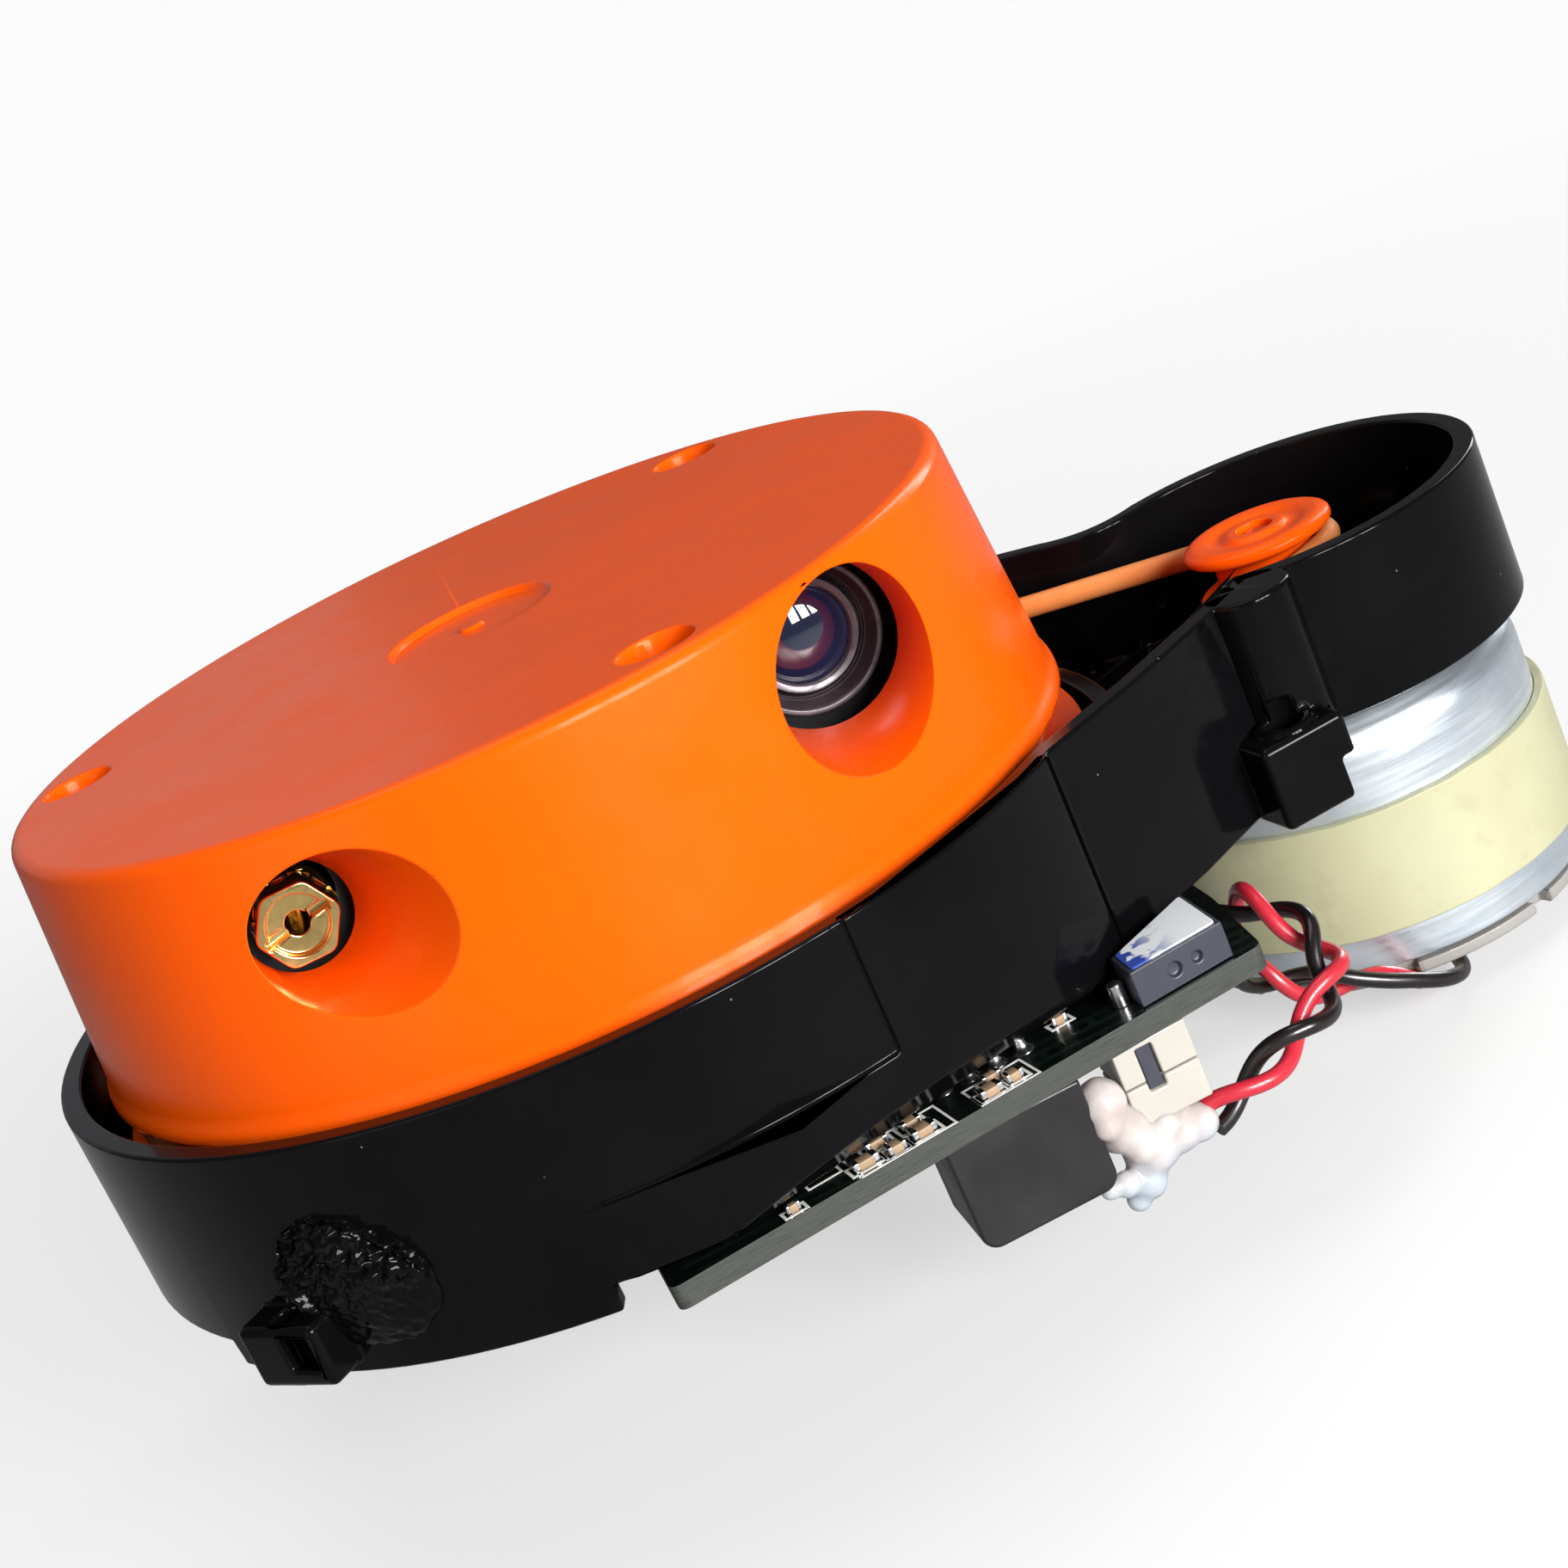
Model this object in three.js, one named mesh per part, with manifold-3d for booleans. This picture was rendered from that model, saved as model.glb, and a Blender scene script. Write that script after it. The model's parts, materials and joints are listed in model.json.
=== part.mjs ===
// Belt-driven scanning rangefinder: a turret with a laser and a lens spins on a bearing in a black
// base tray, and a small motor at the end of the tray's arm drives it through a round belt.
// Millimetres, +Z up. The turret spins about the Z axis, the motor lies towards +X, and at rest the
// laser and the lens look towards -Y. The origin is on the spin axis, on the flat underside of the
// hub cover.
import * as THREE from 'three';
import { mergeVertices } from 'three/addons/utils/BufferGeometryUtils.js';
import Module from 'manifold-3d';

const wasm = await Module();
wasm.setup();

// ---- driving dimensions ----
const GAP = 0.3;                 // clearance between pieces that touch on the real object
const RIM_Z = 17;                // top of the tray's wall
const RING_R = 38;               // outside of the round part of the tray
const WALL = 1.5;
const TRAY_Z = 3.2;              // underside of the tray
const FLOOR_Z = TRAY_Z + 1.6;    // top of the tray's floor
const MOTOR_X = 53;              // motor axis
const LOOP_X = 53.7;             // middle of the round wall above the motor
const LOOP_R = 15.6;             // outside of that wall
const LOOP_Z = RIM_Z - 11.5;     // underside of the tray above the motor
const LOOP_FLOOR_Z = LOOP_Z + 1.5;
const STEP_X = 46;               // where the tray's underside steps up to the motor

const TURRET_TOP = RIM_Z + 16.9;
const TURRET_R = 33.2;           // at the top edge; the side flares out downwards
const SKIRT_R = 35;              // at the bottom lip
const COVER_Z = RIM_Z - 1.3;     // bottom edge of the turret cover
const COVER_T = 2;
const SCREW_RING = 29.3;
const SCREW_ANGLES = [-75, 45, 165];
const DIMPLE_R = 6;              // shallow round recess in the middle of the turret's top
const EYE_Z = RIM_Z + 10;

const BELT_Z = RIM_Z - 3.5;
const BELT_H = 1.7;              // height of the belt's section
const BELT_T = 1.7;              // thickness of the belt's section
const FLANGE_R = 5.4;            // flanges of the motor's pulley
const TURRET_BELT_R = 33.35;     // middle of the belt on the turret
const PULLEY_BELT_R = 4.7;       // middle of the belt on the pulley

const HUB_R = 15;
const HUB_TOP = 12.2;
const BEARING_Z = 6.6;
const BEARING_H = 5;
const BEARING_OUT = 12;
const BEARING_IN = 7.7;
const BALL_RING = 9.85;
const BALL_R = 1;
const BALLS = 11;
const SPINDLE_R = BEARING_IN - GAP;
const SPINDLE_BORE = 5.4;
const PLATE_LOW = 10.8;          // underside of the turntable's rim
const SLIP_Z = [1.9, 2.8, 3.7];  // undersides of the slip ring's contacts

const MOTOR_R = 14.6;
const CAN_TOP = LOOP_Z - GAP;
const CAN_LOW = -13.2;
const WRAP_TOP = RIM_Z - 18.6;
const WRAP_LOW = RIM_Z - 27.4;
const CAP_LOW = -14.4;
const MOTOR_SCREW_Y = 8.5;       // the motor's screws, either side of its shaft

const BOARD_TOP = RIM_Z - 15.2;
const BOARD_T = 1.6;
const LEAD_R = 0.55;             // each wire of the motor lead
const LEAD_TWIST_R = 0.8;        // how far each wire winds from the pair's middle line
const LEAD_TURN = 10.5;          // length of one turn of the twist

const DEG = Math.PI / 180;

// ---- finishes ----
const ORANGE = { color: 0xf2570a, roughness: 0.28, metalness: 0 };
const SALMON = { color: 0xf09a5c, roughness: 0.6, metalness: 0 };
const BLACK_GLOSS = { color: 0x0c0c0e, roughness: 0.15, metalness: 0 };
const BLACK_MATT = { color: 0x19191b, roughness: 0.6, metalness: 0 };
const DARK_GLASS = { color: 0x10131c, roughness: 0.05, metalness: 0 };
const BRASS = { color: 0xc9a24e, roughness: 0.25, metalness: 1 };
const STEEL = { color: 0xb4b8bd, roughness: 0.3, metalness: 1 };
const ZINC = { color: 0xb9c3cb, roughness: 0.38, metalness: 0.9 };
const COPPER = { color: 0x9c4a22, roughness: 0.4, metalness: 1 };
const CREAM = { color: 0xf3efc4, roughness: 0.75, metalness: 0 };
const OFF_WHITE = { color: 0xd6d2cc, roughness: 0.5, metalness: 0 };
const IVORY = { color: 0xf1e9da, roughness: 0.45, metalness: 0 };
const BOARD_GREEN = { color: 0x12201a, roughness: 0.35, metalness: 0 };
const GREY = { color: 0x6a6c70, roughness: 0.4, metalness: 0.2 };
const MAGNET = { color: 0x3c3a3a, roughness: 0.7, metalness: 0.3 };
const GLUE = { color: 0xe6e2dd, roughness: 0.3, metalness: 0 };
const RED = { color: 0xd8283c, roughness: 0.4, metalness: 0 };

// ---- solids ----
function solid_of(geometry) {
  const bare = geometry.clone();
  bare.deleteAttribute('normal');
  bare.deleteAttribute('uv');
  const merged = mergeVertices(bare, 1e-4);
  const corners = merged.index.array;
  const kept = [];
  for (let i = 0; i < corners.length; i += 3) {
    const [a, b, c] = corners.slice(i, i + 3);
    if (a !== b && b !== c && a !== c) kept.push(a, b, c);
  }
  const vertProperties = Float32Array.from(merged.attributes.position.array);
  const triVerts = Uint32Array.from(kept);
  return new wasm.Manifold(new wasm.Mesh({ numProp: 3, vertProperties, triVerts }));
}

function geometry_of(solid) {
  const mesh = solid.getMesh();
  const geometry = new THREE.BufferGeometry();
  geometry.setAttribute('position', new THREE.BufferAttribute(Float32Array.from(mesh.vertProperties), 3));
  geometry.setIndex(new THREE.BufferAttribute(Uint32Array.from(mesh.triVerts), 1));
  geometry.computeVertexNormals();
  return geometry;
}

function joined(...solids) {
  return solids.reduce((whole, piece) => whole.add(piece));
}

function block(x0, x1, y0, y1, z0, z1) {
  const geometry = new THREE.BoxGeometry(x1 - x0, y1 - y0, z1 - z0);
  return solid_of(geometry.translate((x0 + x1) / 2, (y0 + y1) / 2, (z0 + z1) / 2));
}

// A block turned about Z: it spans r0..r1 along the direction `angle`, and is `width` across.
function spoke(angle, r0, r1, width, z0, z1) {
  const geometry = new THREE.BoxGeometry(r1 - r0, width, z1 - z0);
  geometry.translate((r0 + r1) / 2, 0, (z0 + z1) / 2);
  return solid_of(geometry.rotateZ(angle * DEG));
}

// A solid of revolution about Z. The profile's points are [radius, height], anticlockwise.
function turned(profile, sides = 48) {
  const points = profile.map(([r, z]) => new THREE.Vector2(r, z));
  if (profile[0][0] > 0) points.push(points[0]);
  return solid_of(new THREE.LatheGeometry(points, sides).rotateX(Math.PI / 2));
}

function rod(radius, z0, z1, x = 0, y = 0, sides = 24) {
  const geometry = new THREE.CylinderGeometry(radius, radius, z1 - z0, sides).rotateX(Math.PI / 2);
  return solid_of(geometry.translate(x, y, (z0 + z1) / 2));
}

function tube(r_in, r_out, z0, z1, sides = 48) {
  return turned([[r_in, z0], [r_out, z0], [r_out, z1], [r_in, z1]], sides);
}

// A round bar along Y, from y0 to y1; its radius may change from end to end.
function rod_y(r0, r1, y0, y1, x, z, sides = 24) {
  const geometry = new THREE.CylinderGeometry(r1, r0, y1 - y0, sides);
  return solid_of(geometry.translate(x, (y0 + y1) / 2, z));
}

function slab(points, z0, z1) {
  const shape = new THREE.Shape(points);
  const geometry = new THREE.ExtrudeGeometry(shape, { depth: z1 - z0, bevelEnabled: false });
  return solid_of(geometry.translate(0, 0, z0));
}

function arc_points(cx, cy, radius, from, to, steps) {
  const points = [];
  for (let i = 0; i <= steps; i += 1) {
    const angle = (from + (to - from) * i / steps) * DEG;
    points.push(new THREE.Vector2(cx + radius * Math.cos(angle), cy + radius * Math.sin(angle)));
  }
  return points;
}

// The same outline moved inwards by `distance`; the points run anticlockwise.
function inset(points, distance) {
  return points.map((point, i) => {
    const before = points[(i + points.length - 1) % points.length];
    const after = points[(i + 1) % points.length];
    const a = point.clone().sub(before).normalize();
    const b = after.clone().sub(point).normalize();
    const inward = new THREE.Vector2(-a.y - b.y, a.x + b.x).normalize();
    const mitre = distance / Math.max(0.5, inward.x * -a.y + inward.y * a.x);
    return point.clone().addScaledVector(inward, mitre);
  });
}

const groups = {};

function place(group, name, solid, look) {
  const mesh = new THREE.Mesh(geometry_of(solid), new THREE.MeshStandardMaterial(look));
  mesh.name = name;
  groups[group].add(mesh);
}

for (const name of ['base', 'turret', 'drive', 'board', 'lead']) groups[name] = new THREE.Group();
groups.drive.position.x = MOTOR_X;

// ---- base tray ----
const ROUND_LUG = { cx: 0, r0: 37.8, out: 40.6, width: 6.5, z0: 2.4, z1: 6.6, hole_r: 0.9, hole_in: 1.4 };
const ROUND_LUG_ANGLE = 137;
const ARM_LUG = { cx: 41.8, r0: 13, out: 21.2, width: 6.4, z0: 2.6, z1: 8.5, hole_r: 1.3, hole_in: 2.4 };
const ARM_LUG_ANGLE = 84;
const FRONT_FLAT = { angle: -74, reach: 35.4, slope: 0.83 };
const MEET = 44.7;               // angle where the straight walls leave the round wall
const FRONT_WALL = [new THREE.Vector2(34.8, -22.1), new THREE.Vector2(41.7, -17.3)];
const BACK_WALL = [new THREE.Vector2(39.4, 19.6), new THREE.Vector2(34.8, 22.1)];

function tray_outline() {
  const neck = new THREE.QuadraticBezierCurve(
    new THREE.Vector2(49.7, 15.1), new THREE.Vector2(45.4, 13.0), new THREE.Vector2(42.4, 16.8));
  return [
    ...arc_points(0, 0, RING_R, MEET, 360 - MEET, 38),
    ...FRONT_WALL,
    ...arc_points(LOOP_X, 0, LOOP_R, -118, 103, 20),
    ...neck.getPoints(6),
    ...BACK_WALL,
  ];
}

// A mounting lug: a block from r0 to `out` along `angle` from (cx, 0), with a screw hole through it.
function lug({ angle, cx, r0, out, width, z0, z1, hole_r, hole_in }) {
  const body = spoke(angle, r0, out, width, z0, z1).translate([cx, 0, 0]);
  const x = cx + (out - hole_in) * Math.cos(angle * DEG);
  const y = (out - hole_in) * Math.sin(angle * DEG);
  return body.subtract(rod(hole_r, z0 - 1, z1 + 1, x, y, 16));
}

// The space under the tray that the motor's can needs, widened by `margin`.
function motor_space(margin, z0, z1) {
  const round = rod(MOTOR_R + 1.2 + margin, z0, z1, MOTOR_X, 0, 36);
  return round.add(block(STEP_X - margin, 80, -30, 30, z0, z1));
}

// Cutter for the flat under the front of the round wall: it slopes up and outwards.
function front_flat() {
  const { angle, reach, slope } = FRONT_FLAT;
  const out = RING_R + 2;
  const low = TRAY_Z - 0.1;
  const section = new THREE.Shape([
    new THREE.Vector2(reach, low), new THREE.Vector2(out, low),
    new THREE.Vector2(out, low + (out - reach) * slope)]);
  const geometry = new THREE.ExtrudeGeometry(section, { depth: 40, bevelEnabled: false });
  return solid_of(geometry.rotateX(Math.PI / 2).translate(0, 20, 0).rotateZ(angle * DEG));
}

function base_shell() {
  const outline = tray_outline();
  const inner = inset(outline, WALL);
  const outer_block = slab(outline, TRAY_Z, RIM_Z);
  const under_motor = motor_space(0, TRAY_Z - 1, LOOP_Z);
  const deep = slab(inner, FLOOR_Z, RIM_Z + 1).subtract(motor_space(WALL, 0, LOOP_FLOOR_Z));
  let shell = outer_block.subtract(under_motor).subtract(deep).subtract(front_flat());

  // Low wall that carries the round shape across the arm, under the belt.
  const low_wall = slab(
    [...arc_points(0, 0, 37.8, -42, 42, 16), ...arc_points(0, 0, 36.4, 42, -42, 16)], FLOOR_Z - 0.5, 11.2);
  shell = shell.add(low_wall);

  // Bearing hub: the bearing rests on a shoulder, with the slip ring's chamber below it.
  shell = shell.add(tube(BEARING_OUT + GAP, HUB_R, 1.5, HUB_TOP, 30));
  shell = shell.subtract(rod(BEARING_OUT + GAP, 0, HUB_TOP + 1, 0, 0, 30));
  shell = shell.add(tube(10.6, BEARING_OUT + 1, 5, BEARING_Z - GAP, 30));

  // Skirt below the tray at the front left, beside the board.
  shell = shell.add(slab(
    [...arc_points(0, 0, RING_R, -150, -107, 10), ...arc_points(0, 0, RING_R - WALL, -107, -150, 10)],
    1.5, TRAY_Z + 1));

  // Half-round boss on the front wall where it meets the round wall above the motor.
  const boss = rod(3.1, 7, RIM_Z, 45.6, -15.2, 20);
  shell = shell.add(boss.subtract(slab(inner, FLOOR_Z, RIM_Z + 1)));

  // Four mounting lugs.
  for (const side of [-1, 1]) {
    shell = shell.add(lug({ ...ROUND_LUG, angle: side * ROUND_LUG_ANGLE }));
    const on_arm = lug({ ...ARM_LUG, angle: side * ARM_LUG_ANGLE });
    shell = shell.add(on_arm.subtract(slab(inner, FLOOR_Z, RIM_Z + 1)).subtract(under_motor));
  }

  // Motor seat: a hole for the motor's nose and two for its screws.
  shell = shell.subtract(rod(4, LOOP_Z - 1, LOOP_FLOOR_Z + 1, MOTOR_X, 0));
  for (const side of [-1, 1]) {
    shell = shell.subtract(rod(1.3, LOOP_Z - 1, LOOP_FLOOR_Z + 1, MOTOR_X, side * MOTOR_SCREW_Y, 12));
  }

  // Posts under the tray that the board is screwed to.
  for (const [x, y] of BOARD_POSTS) {
    shell = shell.add(rod(2.4, BOARD_TOP + GAP, TRAY_Z + 0.5, x, y, 16));
    shell = shell.subtract(rod(0.9, BOARD_TOP - 1, TRAY_Z + 1, x, y, 12));
  }
  return shell;
}

// ---- bearing ----
function bearing_ring(r0, r1, groove_r, groove_side) {
  const middle = BEARING_Z + BEARING_H / 2;
  const low = BEARING_Z;
  const high = BEARING_Z + BEARING_H;
  if (groove_side > 0) {
    return turned([[r0, low], [r1, low], [r1, middle - 1], [groove_r, middle - 0.5],
      [groove_r, middle + 0.5], [r1, middle + 1], [r1, high], [r0, high]], 28);
  }
  return turned([[r0, low], [r1, low], [r1, high], [r0, high], [r0, middle + 1],
    [groove_r, middle + 0.5], [groove_r, middle - 0.5], [r0, middle - 1]], 28);
}

function ball_cage() {
  const middle = BEARING_Z + BEARING_H / 2;
  let cage = tube(BALL_RING - 0.35, BALL_RING + 0.35, middle - 0.6, middle + 0.6, 33);
  for (let i = 0; i < BALLS; i += 1) {
    const angle = i / BALLS * 2 * Math.PI;
    const ball = solid_of(new THREE.IcosahedronGeometry(BALL_R, 0));
    cage = cage.add(ball.translate([BALL_RING * Math.cos(angle), BALL_RING * Math.sin(angle), middle]));
  }
  return cage;
}

// ---- turret ----
const LENS = {
  x: 17.3, z: EYE_Z + 0.75, mouth_x: 18.8, mouth_z: EYE_Z - 0.1, mouth_r: 6.4,
  bore_y: -20.5, bore_end: -13.8, bore_r: 5.3,
};
const LASER = {
  x: -17.7, z: EYE_Z, mouth_x: -14.2, mouth_z: EYE_Z - 0.2, mouth_r: 5.8,
  bore_y: -22, bore_end: -18, bore_r: 3.4,
};
const MOUTH_Y = -34;

// A skewed cone from the wide mouth at the front to the bore behind it, widened by `margin`.
function funnel(eye, margin, sides = 28) {
  const geometry = new THREE.CylinderGeometry(1, 1, 1, sides);
  const spots = geometry.attributes.position;
  for (let i = 0; i < spots.count; i += 1) {
    const at_back = spots.getY(i) > 0;
    const radius = (at_back ? eye.bore_r : eye.mouth_r) + margin;
    const x = (at_back ? eye.x : eye.mouth_x) + spots.getX(i) * radius;
    const z = (at_back ? eye.z : eye.mouth_z) + spots.getZ(i) * radius;
    spots.setXYZ(i, x, at_back ? eye.bore_y : MOUTH_Y, z);
  }
  return solid_of(geometry);
}

// The solid shape that the turret cover fills: `shrink` steps in from its outer surface.
function turret_body(shrink, low) {
  const edge = 0.7;
  return turned([[0, low], [SKIRT_R - shrink, low], [SKIRT_R - shrink, COVER_Z + 0.6],
    [TURRET_R + 1.4 - shrink, RIM_Z + 0.2], [TURRET_R - shrink, TURRET_TOP - shrink - edge],
    [TURRET_R - edge - shrink, TURRET_TOP - shrink], [0, TURRET_TOP - shrink]], 54);
}

const SCREW_SPOTS = SCREW_ANGLES.map((angle) => (
  [SCREW_RING * Math.cos(angle * DEG), SCREW_RING * Math.sin(angle * DEG)]));

function turret_cover() {
  let cover = turret_body(0, COVER_Z).subtract(turret_body(COVER_T, COVER_Z - 1));
  const inside = turret_body(0.5, COVER_Z);
  for (const eye of [LENS, LASER]) {
    cover = cover.add(funnel(eye, 1.4).intersect(inside));
  }
  for (const [x, y] of SCREW_SPOTS) {
    cover = cover.add(rod(3.1, COVER_Z + 0.2, TURRET_TOP - 1, x, y, 12).intersect(inside));
  }
  for (const eye of [LENS, LASER]) {
    cover = cover.subtract(funnel(eye, 0));
    cover = cover.subtract(rod_y(eye.bore_r, eye.bore_r, eye.bore_y - 0.2, eye.bore_end, eye.x, eye.z, 28));
  }
  for (const [x, y] of SCREW_SPOTS) {
    cover = cover.subtract(rod(2.5, TURRET_TOP - 2.2, TURRET_TOP + 1, x, y, 16));
    cover = cover.subtract(rod(1.4, 10, TURRET_TOP, x, y, 10));
  }
  return cover.subtract(rod(DIMPLE_R, TURRET_TOP - 0.5, TURRET_TOP + 1, 0, 0, 28));
}

// Turntable: the plate under the cover, with the belt groove round its edge and the spindle below.
function rotor_base() {
  const plate_top = COVER_Z - GAP;
  const groove = TURRET_BELT_R - BELT_T / 2 - GAP;
  const lip = BELT_H / 2 + GAP;
  return turned([
    [SPINDLE_BORE, 5.9], [SPINDLE_R, 5.9], [SPINDLE_R, 12.6], [25, 12.6], [25, PLATE_LOW],
    [35.3, PLATE_LOW], [35.3, 12], [groove, BELT_Z - lip], [groove, BELT_Z + lip],
    [34.5, plate_top], [SPINDLE_BORE, plate_top],
  ], 54);
}

const INDEX_RING = { r_in: 28.6, r_out: 30, low: 6.4, teeth: 15, slot: 5 };

// Toothed index ring that hangs below the turntable and passes through the index sensor.
function index_ring() {
  const { r_in, r_out, low, teeth, slot } = INDEX_RING;
  let ring = tube(r_in, r_out, low, PLATE_LOW - GAP, 36);
  for (let i = 0; i < teeth; i += 1) {
    ring = ring.subtract(spoke(i * 360 / teeth, r_in - 1, r_out + 1, slot, low - 1, 9.2));
  }
  return ring;
}

function index_sensor() {
  const z0 = FLOOR_Z + GAP;
  const body = block(-3, 3, 26.4, 32.2, z0, 9.8);
  return body.subtract(block(-4, 4, 28.2, 30.4, 5.9, 11));
}

function slip_ring() {
  const profile = [[0, 1.6], [6.6, 1.6]];
  for (const z of SLIP_Z) {
    profile.push([6.6, z], [7.2, z], [7.2, z + 0.5], [6.6, z + 0.5]);
  }
  return turned([...profile, [6.6, 5.6], [0, 5.6]], 20);
}

function brush_block() {
  let body = block(8.6, 10.5, -1.8, 1.8, 1.2 + GAP, 4.6);
  for (const z of SLIP_Z) {
    body = body.add(block(7.5, 9, -0.3, 0.3, z, z + 0.4));
  }
  return body;
}

function hub_cover() {
  return joined(rod(HUB_R, 0, 1.2, 0, 0, 36), tube(11, BEARING_OUT, 1, 4.4, 36));
}

const LENS_FRONT = -18.6;        // front of the lens barrel
const LENS_TUBE_R = 3.8;

function lens_barrel() {
  const outer = joined(
    rod_y(5, 5, LENS_FRONT, LENS_FRONT + 4.4, LENS.x, LENS.z, 28),
    rod_y(LENS_TUBE_R, LENS_TUBE_R, LENS_FRONT + 4.2, -8, LENS.x, LENS.z, 28));
  const mouth = rod_y(4.4, 3.9, LENS_FRONT - 0.6, LENS_FRONT + 2.4, LENS.x, LENS.z, 28);
  return outer.subtract(mouth).subtract(rod_y(3.2, 3.2, LENS_FRONT + 2.2, -7, LENS.x, LENS.z, 24));
}

function lens_glass() {
  const radius = 3.6;
  const profile = [[0, -0.6], [radius, -0.6], [radius, 0.2], [2.6, 0.75], [1.3, 1.05], [0, 1.15]];
  return turned(profile, 20).rotate([90, 0, 0]).translate([LENS.x, LENS_FRONT + 1.5, LENS.z]);
}

// A block on the turntable with a bore along Y that holds a barrel.
function barrel_holder(x, z, half_width, y0, y1, bore, top) {
  const foot = COVER_Z;
  return block(x - half_width, x + half_width, y0, y1, foot, top)
    .subtract(rod_y(bore, bore, y0 - 1, y1 + 1, x, z, 30));
}

function laser_barrel() {
  const body = joined(
    rod_y(2.7, 2.7, -24.2, -21.6, LASER.x, LASER.z, 6),
    rod_y(2.45, 2.45, -22, -11, LASER.x, LASER.z, 24));
  return body.subtract(rod_y(1.1, 1.1, -25, -10, LASER.x, LASER.z, 16));
}

function laser_diode() {
  return joined(
    rod_y(2.8, 2.8, -8.6, -7.4, LASER.x, LASER.z, 24),
    rod_y(2.2, 2.2, -10.6, -8.5, LASER.x, LASER.z, 24),
    rod_y(0.4, 0.4, -7.6, -4.4, LASER.x - 0.9, LASER.z, 8),
    rod_y(0.4, 0.4, -7.6, -4.4, LASER.x + 0.9, LASER.z, 8));
}

function cover_screw([x, y]) {
  const head = rod(2.1, TURRET_TOP - 1.9, TURRET_TOP - 0.6, x, y, 18);
  const shank = rod(1.05, COVER_Z + 0.5, TURRET_TOP - 1.8, x, y, 12);
  const cross = joined(
    block(x - 1.2, x + 1.2, y - 0.3, y + 0.3, TURRET_TOP - 1.2, TURRET_TOP),
    block(x - 0.3, x + 0.3, y - 1.2, y + 1.2, TURRET_TOP - 1.2, TURRET_TOP));
  return joined(head, shank).subtract(cross);
}

// ---- belt drive and motor, about the motor's own axis ----
function drive_belt() {
  const lean = Math.asin((TURRET_BELT_R - PULLEY_BELT_R) / MOTOR_X) / DEG;
  const touch = 90 - lean;
  const run = (offset) => [
    ...arc_points(0, 0, TURRET_BELT_R + offset, touch, 360 - touch, 44),
    ...arc_points(MOTOR_X, 0, PULLEY_BELT_R + offset, -touch, touch, 12),
  ];
  const outer = slab(run(BELT_T / 2), BELT_Z - BELT_H / 2, BELT_Z + BELT_H / 2);
  return outer.subtract(slab(run(-BELT_T / 2), 0, RIM_Z));
}

function motor_pulley() {
  const groove = PULLEY_BELT_R - BELT_T / 2 - GAP;
  const lip = BELT_H / 2 + GAP;
  const bore = 1 + GAP;
  return turned([
    [bore, 9.4], [3.2, 9.4], [3.2, 10.8], [5, 10.8], [FLANGE_R, 11.2], [FLANGE_R, 11.7],
    [groove, BELT_Z - lip], [groove, BELT_Z + lip], [FLANGE_R, BELT_Z + lip + 0.3],
    [FLANGE_R, RIM_Z - 1.6], [5, RIM_Z - 1.2], [bore, RIM_Z - 1.2],
  ], 24);
}

function motor_can() {
  const shoulder = 2.2;
  const shell = 1;
  return turned([
    [1.6, CAN_TOP - shell], [MOTOR_R - shoulder, CAN_TOP - shell],
    [MOTOR_R - shell, CAN_TOP - shoulder], [MOTOR_R - shell, CAN_LOW], [MOTOR_R, CAN_LOW],
    [MOTOR_R, CAN_TOP - shoulder], [MOTOR_R - 0.65, CAN_TOP - 0.65], [MOTOR_R - shoulder, CAN_TOP],
    [3.4, CAN_TOP], [3.4, CAN_TOP + 1.6], [1.6, CAN_TOP + 1.6],
  ], 36);
}

function motor_end_cap() {
  const r = MOTOR_R - 1 - GAP;
  let cap = turned([
    [1.6, CAP_LOW], [MOTOR_R, CAP_LOW], [MOTOR_R, CAN_LOW - GAP], [r, CAN_LOW - GAP],
    [r, CAN_LOW + 2], [1.6, CAN_LOW + 2],
  ], 36);
  for (const angle of [-150, -40, 80]) {
    cap = cap.subtract(spoke(angle, MOTOR_R - 2, MOTOR_R + 1, 4, CAP_LOW - 1, CAN_LOW - 2 * GAP));
  }
  for (const [x, y] of TERMINALS) {
    cap = cap.subtract(block(x - 1.2, x + 1.2, y - 0.6, y + 0.6, CAP_LOW - 1, CAN_LOW + 3));
  }
  return cap;
}

function motor_magnet(side) {
  const r1 = MOTOR_R - 1 - GAP;
  const r0 = r1 - 2;
  const from = side > 0 ? -55 : 125;
  return slab(
    [...arc_points(0, 0, r1, from, from + 110, 14), ...arc_points(0, 0, r0, from + 110, from, 14)], -9, 1);
}

// The motor's shaft with its wound core and commutator; it turns inside the magnets.
function motor_armature() {
  let core = rod(4, -8, 1, 0, 0, 24);
  for (let i = 0; i < 3; i += 1) {
    core = core.add(spoke(i * 120, 0, 9, 3, -7, 0));
    core = core.add(spoke(i * 120, 8, 10, 8, -8, 1));
  }
  return joined(core, rod(1, -12.6, 15.4, 0, 0, 16), rod(2.6, -10.6, -7.8, 0, 0, 18));
}

function motor_screw(side) {
  const y = side * MOTOR_SCREW_Y;
  const head = rod(2, LOOP_FLOOR_Z + GAP, LOOP_FLOOR_Z + 1.5, 0, y, 16);
  const slot = block(-1.3, 1.3, y - 0.3, y + 0.3, LOOP_FLOOR_Z + 1, LOOP_FLOOR_Z + 2);
  return joined(head.subtract(slot), rod(0.95, LOOP_Z + GAP, LOOP_FLOOR_Z + 0.5, 0, y, 12));
}

const TERMINALS = [[-4.5, -11.2], [-1.3, -11.2]];   // from the motor's axis

function motor_terminal([x, y]) {
  return block(x - 0.9, x + 0.9, y - 0.25, y + 0.25, CAP_LOW - 1.4, CAN_LOW + 2.4);
}

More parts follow.
